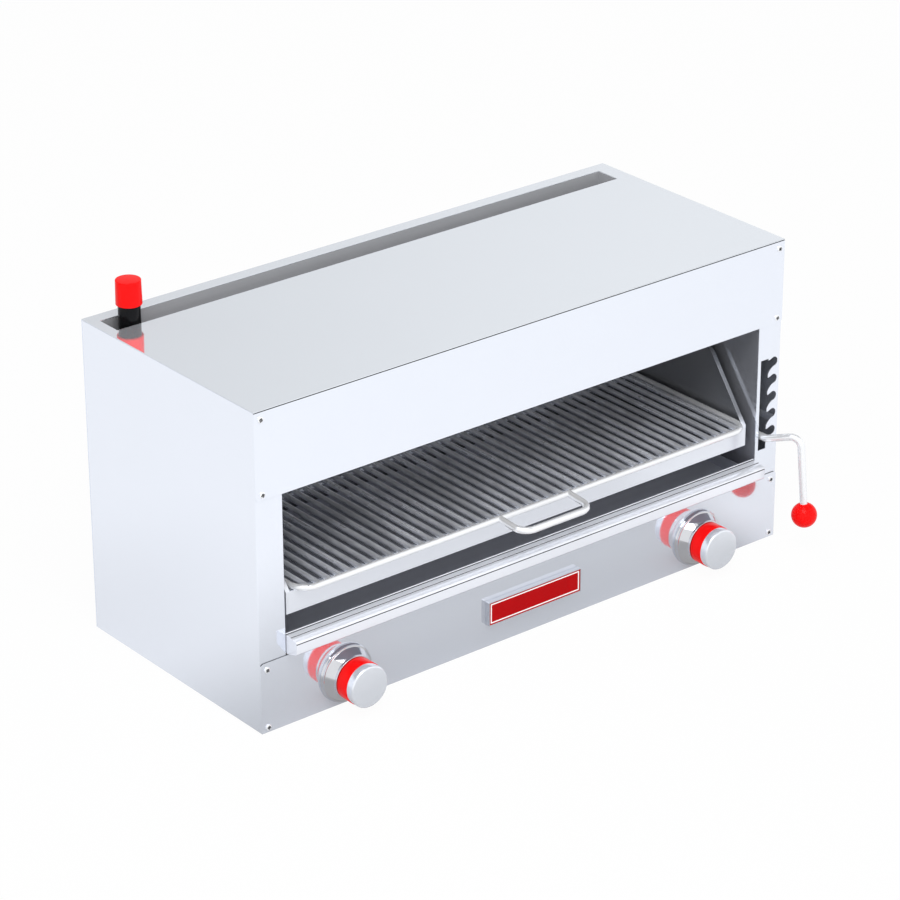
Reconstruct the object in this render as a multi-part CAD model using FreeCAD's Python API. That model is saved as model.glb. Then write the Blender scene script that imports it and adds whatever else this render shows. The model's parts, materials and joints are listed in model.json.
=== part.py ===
import FreeCAD, Part
import math
import os

# Countertop gas cheese melter, in millimetres: +X to the right, -Y to the user, +Z up,
# with the origin at the middle of its underside.

# Cabinet shell
BODY_WIDTH = 850.0
BODY_DEPTH = 357.0
BODY_HEIGHT = 427.0
SHEET = 1.2
BEND_RADIUS = 2.0
COLUMN_WIDTH = 39.0
REAR_FLANGE = 16.0
SIDE = BODY_WIDTH / 2
FRONT = -BODY_DEPTH / 2
BACK = BODY_DEPTH / 2
OPENING = SIDE - COLUMN_WIDTH
SHEET_FIT = 0.3
OVERRUN = 5.0

# Upper fascia and lower control panel
FASCIA_HEIGHT = 116.0
FASCIA_BOTTOM = BODY_HEIGHT - FASCIA_HEIGHT
FASCIA_LIP = 18.0
FASCIA_CORNER = 5.0
PANEL_HEIGHT = 95.0
PANEL_LIP = 12.0
PANEL_CORNER = 5.0

# Chimney slot in the top and the duct below it
FLUE_LEFT_INSET = 15.0
FLUE_RIGHT_INSET = 24.5
FLUE_BACK_INSET = 19.5
FLUE_WIDTH = 37.5
FLUE_LEFT = FLUE_LEFT_INSET - SIDE
FLUE_RIGHT = SIDE - FLUE_RIGHT_INSET
FLUE_FRONT_DEPTH = BODY_DEPTH - FLUE_BACK_INSET - FLUE_WIDTH
FLUE_DROP = 78.0
FLUE_WINDOW_HEIGHT = 30.0
FLUE_WINDOW_MARGIN = 30.0
VENT_COUNT = 8
VENT_MARGIN = 34.0
VENT_BRIDGE = 18.0
VENT_HEIGHT = 12.0
VENT_SILL = 12.0
VENT_PITCH = 2 * (OPENING - VENT_MARGIN) / VENT_COUNT

# Base pan, its flanges and the holes for screwed legs
BASE_FLANGE = 12.0
LEG_HOLE_RADIUS = 5.5
LEG_INSET_X = 40.0
LEG_INSET_Y = 38.5
LEG_X = SIDE - LEG_INSET_X
LEG_Y = BACK - LEG_INSET_Y

# Cooking chamber
LINER_DROP = 64.0
LINER_TOP = BODY_HEIGHT - LINER_DROP
LINER_OUTER = OPENING + SHEET
LINER_BACK_DEPTH = FLUE_FRONT_DEPTH - 2 * SHEET
FLUE_BOTTOM = LINER_TOP - FLUE_DROP
FLOOR_TOP = PANEL_HEIGHT
FLOOR_FLANGE = 12.0
LIFT_SLOT_MARGIN = 4.0
TUBE_HOLE_RADIUS = 8.0

# Lever gate, cut in the right column
GATE_LEFT_GAP = 5.3
GATE_BAND = 13.4
GATE_RISE = 38.5
NOTCH_COUNT = 5
NOTCH_FOOT = 24.3
NOTCH_TOP_GAP = 6.2
NOTCH_TIP_RADIUS = 6.5
NOTCH_REACH = 16.2
TOOTH_TIP_RISE = 3.6
TOOTH_TIP_REACH = 8.7
TOOTH_TOP_RUN = 3.6
TOOTH_BELLY_DROP = 10.1
TOOTH_BELLY_REACH = 10.7
TOOTH_FOOT_DROP = 17.8

# Rack carrier that rises under the burners
CARRIER_SIDE_GAP = 9.0
CARRIER_FRONT_DEPTH = 10.7
CARRIER_BACK_GAP = 12.6
CARRIER_BACK_DEPTH = LINER_BACK_DEPTH - CARRIER_BACK_GAP
CARRIER_RISE = 47.6
APRON_HEIGHT = 29.7
APRON_LIP = 6.0
CHEEK_RISE = 89.7
CHEEK_SLOPE = 67.3
CARRIER_CORNER = 14.0
CARRIER_EDGE_FLANGE = 6.0
LEDGE_WIDTH = 14.0
CARRIER_HALF = OPENING - CARRIER_SIDE_GAP
CARRIER_BOTTOM = FLOOR_TOP + CARRIER_RISE
APRON_TOP = CARRIER_BOTTOM + APRON_HEIGHT
CARRIER_TOP = APRON_TOP + CHEEK_RISE
CARRIER_SLOPE_DEPTH = CARRIER_FRONT_DEPTH + CHEEK_SLOPE
LIFT_GAP = 2.2
LIFT_TRAVEL = LINER_TOP - LIFT_GAP - CARRIER_TOP
GATE_BOTTOM = FLOOR_TOP + GATE_RISE
NOTCH_LOW = GATE_BOTTOM + NOTCH_FOOT
NOTCH_PITCH = LIFT_TRAVEL / (NOTCH_COUNT - 1)
GATE_TOP = NOTCH_LOW + LIFT_TRAVEL + NOTCH_TOP_GAP

# Vertical guide rods with their ears and stop collars
GUIDE_RADIUS = 6.0
GUIDE_OFFSET = 12.0
GUIDE_TUBE_GAP = 60.0
GUIDE_FIT = 0.08
EAR_THICKNESS = 3.0
EAR_WIDTH = 24.0
EAR_RISE = 7.4
EAR_TOP_GAP = 16.0
EAR_BOTTOM = CARRIER_BOTTOM + EAR_RISE
EAR_TOP = CARRIER_TOP - EAR_TOP_GAP
GUIDE_X = OPENING + GUIDE_OFFSET
BURNER_REAR_GAP = 29.6
SUPPLY_INSET = 33.0
BURNER_BACK_DEPTH = LINER_BACK_DEPTH - BURNER_REAR_GAP
SUPPLY_DEPTH = BURNER_BACK_DEPTH - SUPPLY_INSET
GUIDE_DEPTH = SUPPLY_DEPTH - GUIDE_TUBE_GAP
EAR_MARGIN = 5.0
COLLAR_RADIUS = 10.5
COLLAR_HEIGHT = 10.0
BRACKET_DROP = 3.5
BRACKET_LEG = 16.0

# Lifting lever
LEVER_RADIUS = 5.0
LEVER_EDGE_GAP = 2.2
LEVER_DROP = 5.2
LEVER_GUIDE_GAP = 53.5
LEVER_TILT = 20.0
LEVER_CRANK_REACH = 7.0
LEVER_CORNER_OFFSET = 20.5
LEVER_CORNER_REACH = 50.0
LEVER_CORNER_RISE = 12.4
LEVER_BALL_OFFSET = 23.8
LEVER_BALL_REACH = 59.0
LEVER_BALL_DROP = 99.7
LEVER_GATE_X = OPENING + GATE_LEFT_GAP + LEVER_EDGE_GAP + LEVER_RADIUS
LEVER_HEIGHT = NOTCH_LOW - LEVER_DROP
LEVER_PIVOT_DEPTH = GUIDE_DEPTH - LEVER_GUIDE_GAP
LEVER_BEND = 13.0
BALL_RADIUS = 17.3
EYE_RADIUS = 10.0
EYE_THICKNESS = 10.0
PIN_RADIUS = 3.5
PIN_FIT = 0.08
PIN_HEAD_RADIUS = 6.0
PIN_HEAD_HEIGHT = 2.5
SHELF_THICKNESS = 3.0
SHELF_WIDTH = 26.0

# Wire grate
ROD_RADIUS = 3.5
ROD_SIDES_COUNT = 8
ROD_PITCH = 16.0
ROD_END_GAP = 2.0
FRAME_ROD_RADIUS = 4.0
GRATE_SIDE_GAP = 1.6
GRATE_FRONT_DEPTH = -4.0
GRATE_BACK_GAP = 4.0
GRATE_CORNER = 24.0
STOP_ROD_RADIUS = 3.0
STOP_ROD_INSET = 57.0
SEAT_GAP = 0.3
HANDLE_SPREAD = 113.0
HANDLE_REACH = 45.5
HANDLE_DROP = 2.8
HANDLE_RADIUS = 4.5
HANDLE_BEND = 13.0
HANDLE_WELD = 1.0

# Drip tray and its rolled front lip
TRAY_SIDE_GAP = 12.0
TRAY_BACK_GAP = 10.0
TRAY_WALL_HEIGHT = 18.0
TRAY_FRONT_DEPTH = 4.0
LIP_SIDE_GAP = 1.0
LIP_GAP = 1.5
LIP_HEIGHT = 27.0
LIP_REACH = 20.0
LIP_NOSE_DROP = 3.5
LIP_NOSE_HEIGHT = 13.0
LIP_BOTTOM = PANEL_HEIGHT + LIP_GAP
LIP_TOP = LIP_BOTTOM + LIP_HEIGHT
LIP_NOSE_TOP = LIP_TOP - LIP_NOSE_DROP
LIP_NOSE_BOTTOM = LIP_NOSE_TOP - LIP_NOSE_HEIGHT
LIP_BEAD = 2.6
LIP_ROUND = 2.5

# Control knobs, their bezels and the gas valves behind them
LEFT_KNOB_INSET = 126.5
RIGHT_KNOB_INSET = 143.0
LEFT_KNOB_X = LEFT_KNOB_INSET - SIDE
RIGHT_KNOB_X = SIDE - RIGHT_KNOB_INSET
KNOB_HEIGHT = 42.0
BEZEL_RADIUS = 39.0
BEZEL_RIM = 2.0
BEZEL_STEP_DEPTH = 6.0
BEZEL_STEP_RADIUS = 37.5
BEZEL_CONE_RADIUS = 35.6
BEZEL_COLLAR_DEPTH = 17.5
BEZEL_COLLAR_RADIUS = 29.5
BEZEL_LENGTH = 20.5
BEZEL_WALL = 1.5
KNOB_RUNNING_GAP = 0.5
RING_RADIUS = 28.2
RING_END = 39.0
CAP_RADIUS = 27.6
KNOB_REACH = 50.3
CAP_EDGE = 1.5
STEM_RADIUS = 4.0
STEM_FIT = 0.05
STEM_SOCKET_DEPTH = 34.0
STEM_END_DEPTH = 22.0
SHAFT_HOLE_RADIUS = 6.0
VALVE_FRONT_DEPTH = 6.0
VALVE_BACK_DEPTH = 52.0
VALVE_BODY_RADIUS = 13.0
VALVE_NECK_RADIUS = 9.0
VALVE_NECK_LENGTH = 12.0
NIPPLE_RADIUS = 7.0
OUTLET_RADIUS = 7.0
OUTLET_REACH = 22.0
OUTLET_DEPTH = 32.0

# Gas pipework
INLET_INSET = 31.0
INLET_SLOT_DEPTH = 19.0
INLET_RADIUS = 14.2
INLET_WALL = 2.6
INLET_STAND = 30.0
INLET_BEND = 32.0
MANIFOLD_DEPTH = 75.0
MANIFOLD_RADIUS = 10.7
MANIFOLD_WALL = 2.3
MANIFOLD_OVERHANG = 24.0
ELBOW_RADIUS = 17.5
ELBOW_LEG = 26.0
ELBOW_BEAD_RADIUS = 19.5
ELBOW_BEAD = 8.0
SUPPLY_RADIUS = 4.75
SUPPLY_BEND = 18.0
SUPPLY_OFFSET = 20.0
INLET_CAP_RADIUS = 16.8
INLET_CAP_TAPER = 0.6
INLET_CAP_GRIP = 9.5
INLET_CAP_HEIGHT = 32.3
INLET_CAP_FIT = 0.1
INLET_CAP_EDGE = 1.2
INLET_X = FLUE_LEFT + INLET_INSET
INLET_DEPTH = FLUE_FRONT_DEPTH + INLET_SLOT_DEPTH
INLET_TOP = BODY_HEIGHT + INLET_STAND
INLET_CAP_BOTTOM = INLET_TOP - INLET_CAP_GRIP
INLET_CAP_TOP = INLET_CAP_BOTTOM + INLET_CAP_HEIGHT
SUPPLY_X = OPENING + SUPPLY_OFFSET

# Infrared burners, their hanger rails and the heat shield
BURNER_END_GAP = 33.0
BURNER_MIDDLE_GAP = 26.0
BURNER_FRONT_DEPTH = 56.0
BURNER_HEIGHT = 28.0
BURNER_WALL = 1.5
BURNER_FLANGE = 14.0
FLANGE_THICKNESS = 1.5
TILE_COLUMN_COUNT = 3
TILE_ROW_COUNT = 2
TILE_THICKNESS = 13.0
TILE_GAP = 0.3
TILE_SINK = 4.0
SCREEN_DROP = 15.0
SCREEN_RIM = 8.0
SCREEN_THICKNESS = 1.2
SCREEN_SLOT_COUNT = 13
SCREEN_BAR = 4.0
SCREEN_HOOK_WIDTH = 10.0
RAIL_THICKNESS = 2.0
RAIL_SEAT = 18.0
RAIL_HEIGHT = 40.0
VENTURI_RADIUS = 15.0
VENTURI_WALL = 1.5
VENTURI_RISE = 21.0
VENTURI_BEND = 16.0
VENTURI_REACH = 5.0
VENTURI_FLARE = 18.0
VENTURI_FLARE_LENGTH = 10.0
ORIFICE_RADIUS = 6.5
ORIFICE_LENGTH = 12.0
ORIFICE_NOSE_RADIUS = 3.0
ORIFICE_NOSE = 6.0
SHIELD_MARGIN = 6.0
SHIELD_LIP = 12.0
BURNER_BOTTOM = LINER_TOP - BURNER_HEIGHT
BURNER_WIDTH = OPENING - BURNER_END_GAP - BURNER_MIDDLE_GAP / 2
BURNER_X = (BURNER_WIDTH + BURNER_MIDDLE_GAP) / 2
BURNER_SEAT = LINER_TOP + RAIL_THICKNESS
VENTURI_HEIGHT = LINER_TOP + VENTURI_RISE
VENTURI_MOUTH_X = OPENING + VENTURI_REACH
ORIFICE_HALF = ORIFICE_LENGTH / 2

# Screws and the bare plate on the control panel
SCREW_INSET = 9.5
FASCIA_SCREW_DROP = 11.5
FASCIA_SCREW_RISE = 7.5
PANEL_SCREW_DROP = 9.8
PANEL_SCREW_RISE = 6.8
BACK_SCREW_INSET = 24.0
SCREW_HEAD_RADIUS = 3.9
SCREW_HEAD_HEIGHT = 2.0
SCREW_HEAD_EDGE = 1.0
BADGE_WIDTH = 157.0
BADGE_HEIGHT = 38.0
BADGE_THICKNESS = 8.0
BADGE_CENTRE = 49.0
BADGE_RIM = 3.6
BADGE_RECESS = 1.6
BADGE_CORNER = 2.0


def deep(distance):
    """Y of a place at a distance behind the front face."""
    return FRONT + distance


def point(x, y, z):
    return FreeCAD.Vector(x, y, z)


def box(x0, x1, y0, y1, z0, z1):
    return Part.makeBox(x1 - x0, y1 - y0, z1 - z0, point(x0, y0, z0))


def rod(radius, start, end):
    """Round bar between two places."""
    along = end - start
    return Part.makeCylinder(radius, along.Length, start, along)


def fuse(first, *others):
    return first.fuse(list(others)).removeSplitter()


def prism(points, extrusion):
    """Solid from a flat polygon."""
    wire = Part.makePolygon(points + [points[0]])
    return Part.Face(wire).extrude(extrusion)


def plan_prism(outline, z0, z1):
    return prism([point(x, y, z0) for x, y in outline], point(0, 0, z1 - z0))


def side_prism(outline, x0, x1):
    """Solid along X from an outline of depth and height pairs."""
    return prism([point(x0, deep(d), z) for d, z in outline], point(x1 - x0, 0, 0))


def mirrored(shape):
    return shape.mirror(point(0, 0, 0), point(1, 0, 0))


def both_sides(name, right):
    """Saves a right-hand piece and its mirror image on the left."""
    save("right_" + name, right)
    save("left_" + name, mirrored(right))


def turned(profile, centre):
    """Body of revolution about a front-to-back axis, from reach and radius pairs."""
    points = [point(centre.x + r, centre.y - reach, centre.z) for reach, r in profile]
    face = Part.Face(Part.makePolygon(points + [points[0]]))
    return face.revolve(centre, point(0, 1, 0), 360)


def upright(profile, x, y):
    """Body of revolution about a vertical axis, from radius and height pairs."""
    points = [point(x + r, y, z) for r, z in profile]
    face = Part.Face(Part.makePolygon(points + [points[0]]))
    return face.revolve(point(x, y, 0), point(0, 0, 1), 360)


def bent_path(points, bend):
    """Straight runs joined by tangent arcs of one radius."""
    edges = []
    start = points[0]
    for before, corner, after in zip(points, points[1:], points[2:]):
        back = (before - corner).normalize()
        on = (after - corner).normalize()
        half = back.getAngle(on) / 2
        reach = bend / math.tan(half)
        middle = (back + on).normalize()
        centre = corner + middle * (bend / math.sin(half))
        first = corner + back * reach
        last = corner + on * reach
        edges.append(Part.LineSegment(start, first).toShape())
        edges.append(Part.Arc(first, centre - middle * bend, last).toShape())
        start = last
    edges.append(Part.LineSegment(start, points[-1]).toShape())
    return Part.Wire(edges)


def bent_rod(points, bend, radius):
    """Round bar swept along a bent path."""
    ring = Part.Wire(Part.makeCircle(radius, points[0], points[1] - points[0]))
    return bent_path(points, bend).makePipe(Part.Face(ring))


def rounded(shape, radius, wanted):
    """Rounds the straight edges that the test picks out."""
    return shape.makeFillet(radius, [edge for edge in shape.Edges if wanted(edge)])


def upright_edge(edge):
    ends = edge.BoundBox
    return ends.ZLength > max(ends.XLength, ends.YLength)


def hole_along_y(x, z, radius, y0, y1):
    return rod(radius, point(x, y0, z), point(x, y1, z))


def save(name, shape):
    shape.exportStep("parts/" + name + ".step")


# Cabinet shell

def side_panel():
    """Right side sheet, folded into the front column and a rear flange."""
    front = deep(SHEET)
    rear = BACK - SHEET
    outline = [
        (OPENING, front),
        (SIDE, front),
        (SIDE, rear),
        (SIDE - REAR_FLANGE, rear),
        (SIDE - REAR_FLANGE, rear - SHEET),
        (SIDE - SHEET, rear - SHEET),
        (SIDE - SHEET, front + SHEET),
        (OPENING, front + SHEET),
    ]
    panel = plan_prism(outline, 0, BODY_HEIGHT - SHEET)
    return rounded(panel, BEND_RADIUS / 2, lambda e: upright_edge(e) and e.BoundBox.XMin > SIDE - SHEET / 2)


def notch(tip_x, tip_z, inner_x):
    """Face of one finger of the gate: a hooked mouth that rises to a round tip."""
    y = FRONT
    tooth = point(tip_x - TOOTH_TIP_REACH + SEAT_GAP, y, tip_z + TOOTH_TIP_RISE)
    crown_rise = math.sqrt(NOTCH_TIP_RADIUS ** 2 - TOOTH_TOP_RUN ** 2)
    crown = point(tip_x - TOOTH_TOP_RUN, y, tip_z + crown_rise)
    tip = point(tip_x + NOTCH_TIP_RADIUS, y, tip_z)
    under = point(tip_x, y, tip_z - NOTCH_TIP_RADIUS)
    foot = point(tip_x - TOOTH_BELLY_REACH + SEAT_GAP, y, tip_z - TOOTH_FOOT_DROP)
    belly_x = tip_x - (TOOTH_BELLY_REACH + SEAT_GAP) / 2
    belly = point(belly_x, y, tip_z - TOOTH_BELLY_DROP)
    edges = [
        Part.LineSegment(point(inner_x, y, tooth.z), tooth).toShape(),
        Part.LineSegment(tooth, crown).toShape(),
        Part.Arc(crown, tip, under).toShape(),
        Part.Arc(under, belly, foot).toShape(),
        Part.LineSegment(foot, point(inner_x, y, foot.z)).toShape(),
        Part.LineSegment(point(inner_x, y, foot.z), point(inner_x, y, tooth.z)).toShape(),
    ]
    return Part.Face(Part.Wire(edges))


def lever_gate():
    """Cutter for the upright band and its five fingers."""
    left = OPENING + GATE_LEFT_GAP
    right = left + GATE_BAND
    through = point(0, 3 * SHEET + OVERRUN, 0)
    band = box(left, right, FRONT, FRONT + through.y, GATE_BOTTOM, GATE_TOP)
    tip_x = LEVER_GATE_X + NOTCH_REACH - SEAT_GAP
    fingers = []
    for row in range(NOTCH_COUNT):
        tip_z = NOTCH_LOW + row * NOTCH_PITCH
        fingers.append(notch(tip_x, tip_z, LEVER_GATE_X).extrude(through))
    return fuse(band, *fingers)


def top_panel():
    plate = box(-SIDE, SIDE, FRONT, BACK, BODY_HEIGHT - SHEET, BODY_HEIGHT)
    plate = rounded(plate, BEND_RADIUS / 2, upright_edge)
    slot = box(
        FLUE_LEFT, FLUE_RIGHT,
        deep(FLUE_FRONT_DEPTH), deep(FLUE_FRONT_DEPTH + FLUE_WIDTH),
        BODY_HEIGHT - SHEET - OVERRUN, BODY_HEIGHT + OVERRUN,
    )
    return plate.cut(slot)


def front_fascia():
    """Upper front sheet, folded back along its lower edge."""
    face = box(-SIDE, SIDE, FRONT, deep(SHEET), FASCIA_BOTTOM, BODY_HEIGHT - SHEET)
    low = FASCIA_BOTTOM + FASCIA_CORNER
    face = rounded(face, FASCIA_CORNER, lambda e: e.BoundBox.YLength > SHEET / 2 and e.BoundBox.ZMax < low)
    half = OPENING - SHEET_FIT
    lip = [
        (SHEET, FASCIA_BOTTOM),
        (FASCIA_LIP, FASCIA_BOTTOM),
        (FASCIA_LIP, FASCIA_BOTTOM + FASCIA_LIP / 2),
        (FASCIA_LIP - SHEET, FASCIA_BOTTOM + FASCIA_LIP / 2),
        (FASCIA_LIP - SHEET, FASCIA_BOTTOM + SHEET),
        (SHEET, FASCIA_BOTTOM + SHEET),
    ]
    top = BODY_HEIGHT - SHEET
    flange = box(-half, half, deep(SHEET), deep(FASCIA_LIP), top - SHEET, top)
    return fuse(face, side_prism(lip, -half, half), flange)


def control_panel():
    """Lower front sheet with its folded top edge and the two shaft holes."""
    face = box(-SIDE, SIDE, FRONT, deep(SHEET), 0, PANEL_HEIGHT)
    high = PANEL_HEIGHT - PANEL_CORNER
    face = rounded(face, PANEL_CORNER, lambda e: e.BoundBox.YLength > SHEET / 2 and e.BoundBox.ZMin > high)
    half = OPENING - SHEET_FIT
    flange = box(-half, half, deep(SHEET), deep(PANEL_LIP), PANEL_HEIGHT - SHEET, PANEL_HEIGHT)
    panel = fuse(face, flange)
    for x in (LEFT_KNOB_X, RIGHT_KNOB_X):
        panel = panel.cut(hole_along_y(x, KNOB_HEIGHT, SHAFT_HOLE_RADIUS, FRONT - OVERRUN, FRONT + OVERRUN))
    return panel


def back_panel():
    return box(-SIDE, SIDE, BACK - SHEET, BACK, 0, BODY_HEIGHT - SHEET)


def base_pan():
    """Bottom sheet with four turned-up flanges and the leg holes."""
    half = SIDE - SHEET - SHEET_FIT
    front = deep(2 * SHEET + SHEET_FIT)
    rear = BACK - 2 * SHEET - SHEET_FIT
    block = box(-half, half, front, rear, 0, BASE_FLANGE)
    hollow = box(-half + SHEET, half - SHEET, front + SHEET, rear - SHEET, SHEET, BASE_FLANGE + OVERRUN)
    pan = block.cut(hollow)
    for x in (-LEG_X, LEG_X):
        for y in (-LEG_Y, LEG_Y):
            pan = pan.cut(rod(LEG_HOLE_RADIUS, point(x, y, -OVERRUN), point(x, y, OVERRUN)))
    return pan


# Cooking chamber

def chamber_floor():
    """Floor sheet between the side panels, turned down at both ends."""
    half = SIDE - SHEET - SHEET_FIT
    outline = [
        (-half, FLOOR_TOP - FLOOR_FLANGE),
        (-half, FLOOR_TOP),
        (half, FLOOR_TOP),
        (half, FLOOR_TOP - FLOOR_FLANGE),
        (half - SHEET, FLOOR_TOP - FLOOR_FLANGE),
        (half - SHEET, FLOOR_TOP - SHEET),
        (SHEET - half, FLOOR_TOP - SHEET),
        (SHEET - half, FLOOR_TOP - FLOOR_FLANGE),
    ]
    front = deep(PANEL_LIP + SHEET_FIT)
    depth = deep(FLUE_FRONT_DEPTH - SHEET) - front
    floor = prism([point(x, front, z) for x, z in outline], point(0, depth, 0))
    for x in (-SUPPLY_X, SUPPLY_X):
        place = point(x, deep(SUPPLY_DEPTH), FLOOR_TOP - OVERRUN)
        floor = floor.cut(rod(TUBE_HOLE_RADIUS, place, place + point(0, 0, 2 * OVERRUN)))
    return floor


def lift_slot(depth, width, z0, z1):
    """Cutter for an upright slot through the right liner, round at both ends."""
    reach = OPENING - OVERRUN
    length = SHEET + 2 * OVERRUN
    slot = box(reach, reach + length, deep(depth - width / 2), deep(depth + width / 2), z0, z1)
    ends = [
        rod(width / 2, point(reach, deep(depth), z), point(reach + length, deep(depth), z))
        for z in (z0, z1)
    ]
    return fuse(slot, *ends)


def chamber_liner():
    """Right wall of the chamber with the slot for the guide ears."""
    wall = box(OPENING, LINER_OUTER, deep(2 * SHEET), deep(LINER_BACK_DEPTH), FLOOR_TOP, LINER_TOP)
    width = EAR_WIDTH + LIFT_SLOT_MARGIN
    low = EAR_BOTTOM
    high = EAR_TOP + LIFT_TRAVEL
    return wall.cut(lift_slot(GUIDE_DEPTH, width, low + width / 4, high - width / 4))


def lever_slot():
    """Cutter for the lever shelf's slot, in the right liner only."""
    width = SHELF_WIDTH + LIFT_SLOT_MARGIN
    low = shelf_height(CARRIER_HALF) - LIFT_SLOT_MARGIN
    high = shelf_height(LINER_OUTER) + SHELF_THICKNESS + LIFT_TRAVEL + LIFT_SLOT_MARGIN
    return box(
        OPENING - OVERRUN, LINER_OUTER + OVERRUN,
        deep(LEVER_PIVOT_DEPTH - width / 2), deep(LEVER_PIVOT_DEPTH + width / 2),
        low, high,
    )


def rear_liner():
    """Back wall of the chamber with the row of flue vents."""
    face = deep(LINER_BACK_DEPTH)
    wall = box(-OPENING, OPENING, face, face + SHEET, FLOOR_TOP, LINER_TOP)
    sill = FLUE_BOTTOM + VENT_SILL
    half = (VENT_PITCH - VENT_BRIDGE) / 2
    for number in range(VENT_COUNT):
        centre = (number - (VENT_COUNT - 1) / 2) * VENT_PITCH
        vent = box(
            centre - half, centre + half,
            deep(LINER_BACK_DEPTH) - OVERRUN, deep(FLUE_FRONT_DEPTH),
            sill, sill + VENT_HEIGHT,
        )
        wall = wall.cut(vent)
    return wall


def flue_duct():
    """Open-ended chimney behind the chamber, with a window behind the vents."""
    top = BODY_HEIGHT - SHEET
    front = deep(FLUE_FRONT_DEPTH)
    rear = deep(FLUE_FRONT_DEPTH + FLUE_WIDTH)
    shell = box(FLUE_LEFT - SHEET, FLUE_RIGHT + SHEET, front - SHEET, rear + SHEET, FLUE_BOTTOM, top)
    bore = box(FLUE_LEFT, FLUE_RIGHT, front, rear, FLUE_BOTTOM - OVERRUN, top + OVERRUN)
    half = OPENING - FLUE_WINDOW_MARGIN
    sill = FLUE_BOTTOM + VENT_SILL / 2
    window = box(-half, half, front - SHEET - OVERRUN, front + OVERRUN, sill, sill + FLUE_WINDOW_HEIGHT)
    return shell.cut(fuse(bore, window))


# Rack carrier and its guides

def carrier_side():
    """Right cheek of the carrier: a slanted front edge with a hemmed flange."""
    outline = [
        (CARRIER_FRONT_DEPTH, CARRIER_BOTTOM),
        (CARRIER_FRONT_DEPTH, APRON_TOP),
        (CARRIER_SLOPE_DEPTH, CARRIER_TOP),
        (CARRIER_BACK_DEPTH, CARRIER_TOP),
        (CARRIER_BACK_DEPTH, CARRIER_BOTTOM),
    ]
    inner = CARRIER_HALF - SHEET
    cheek = side_prism(outline, inner, CARRIER_HALF)
    slope = math.atan2(CARRIER_TOP - APRON_TOP, CARRIER_SLOPE_DEPTH - CARRIER_FRONT_DEPTH)
    along = SHEET / math.sin(slope)
    flange_outline = [
        (CARRIER_FRONT_DEPTH, APRON_TOP),
        (CARRIER_SLOPE_DEPTH, CARRIER_TOP),
        (CARRIER_BACK_DEPTH, CARRIER_TOP),
        (CARRIER_BACK_DEPTH, CARRIER_TOP - SHEET),
        (CARRIER_SLOPE_DEPTH + along, CARRIER_TOP - SHEET),
        (CARRIER_FRONT_DEPTH + along, APRON_TOP),
    ]
    flange = side_prism(flange_outline, inner - CARRIER_EDGE_FLANGE + SHEET, CARRIER_HALF)
    corner = point(0, deep(CARRIER_SLOPE_DEPTH), CARRIER_TOP)
    cheek = fuse(cheek, flange)

    def at_corner(edge):
        middle = edge.CenterOfMass
        off = math.hypot(middle.y - corner.y, middle.z - corner.z)
        return edge.BoundBox.XLength > SHEET / 2 and off < SHEET / 4

    return rounded(cheek, CARRIER_CORNER, at_corner)


def rack_carrier():
    """Open frame of apron, two cheeks, back bar and the ledges that carry the grate."""
    cheek = carrier_side()
    half = CARRIER_HALF
    front = CARRIER_FRONT_DEPTH
    apron_outline = [
        (front, CARRIER_BOTTOM),
        (front, APRON_TOP),
        (front + APRON_LIP, APRON_TOP),
        (front + APRON_LIP, APRON_TOP - SHEET),
        (front + SHEET, APRON_TOP - SHEET),
        (front + SHEET, CARRIER_BOTTOM + SHEET),
        (front + APRON_LIP, CARRIER_BOTTOM + SHEET),
        (front + APRON_LIP, CARRIER_BOTTOM),
    ]
    rear = CARRIER_BACK_DEPTH
    bar_outline = [
        (rear, CARRIER_BOTTOM),
        (rear, APRON_TOP),
        (rear - APRON_LIP, APRON_TOP),
        (rear - APRON_LIP, APRON_TOP - SHEET),
        (rear - SHEET, APRON_TOP - SHEET),
        (rear - SHEET, CARRIER_BOTTOM),
    ]
    inner = half - SHEET
    ledge = box(
        inner - LEDGE_WIDTH, inner, deep(front + SHEET), deep(rear - SHEET),
        APRON_TOP - SHEET, APRON_TOP,
    )
    return fuse(
        cheek, mirrored(cheek),
        side_prism(apron_outline, -half, half), side_prism(bar_outline, -half, half),
        ledge, mirrored(ledge),
    )


def guide_ears():
    """Two ears joined by a web on the carrier's cheek, bored for the guide rod."""
    y0 = deep(GUIDE_DEPTH - EAR_WIDTH / 2)
    y1 = deep(GUIDE_DEPTH + EAR_WIDTH / 2)
    reach = GUIDE_X + GUIDE_RADIUS + EAR_MARGIN
    top = EAR_TOP
    outline = [
        (CARRIER_HALF, EAR_BOTTOM),
        (reach, EAR_BOTTOM),
        (reach, EAR_BOTTOM + EAR_THICKNESS),
        (CARRIER_HALF + EAR_THICKNESS, EAR_BOTTOM + EAR_THICKNESS),
        (CARRIER_HALF + EAR_THICKNESS, top - EAR_THICKNESS),
        (reach, top - EAR_THICKNESS),
        (reach, top),
        (CARRIER_HALF, top),
    ]
    bracket = prism([point(x, y0, z) for x, z in outline], point(0, y1 - y0, 0))
    bracket = rounded(bracket, EAR_MARGIN, lambda e: upright_edge(e) and e.BoundBox.XMin > reach - SHEET)
    axis = point(GUIDE_X, deep(GUIDE_DEPTH), EAR_BOTTOM - OVERRUN)
    bore = rod(GUIDE_RADIUS + GUIDE_FIT, axis, axis + point(0, 0, EAR_TOP - EAR_BOTTOM + 2 * OVERRUN))
    return bracket.cut(bore)


def guide_rod():
    place = point(GUIDE_X, deep(GUIDE_DEPTH), FLOOR_TOP)
    return rod(GUIDE_RADIUS, place, point(place.x, place.y, LINER_TOP))


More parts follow.
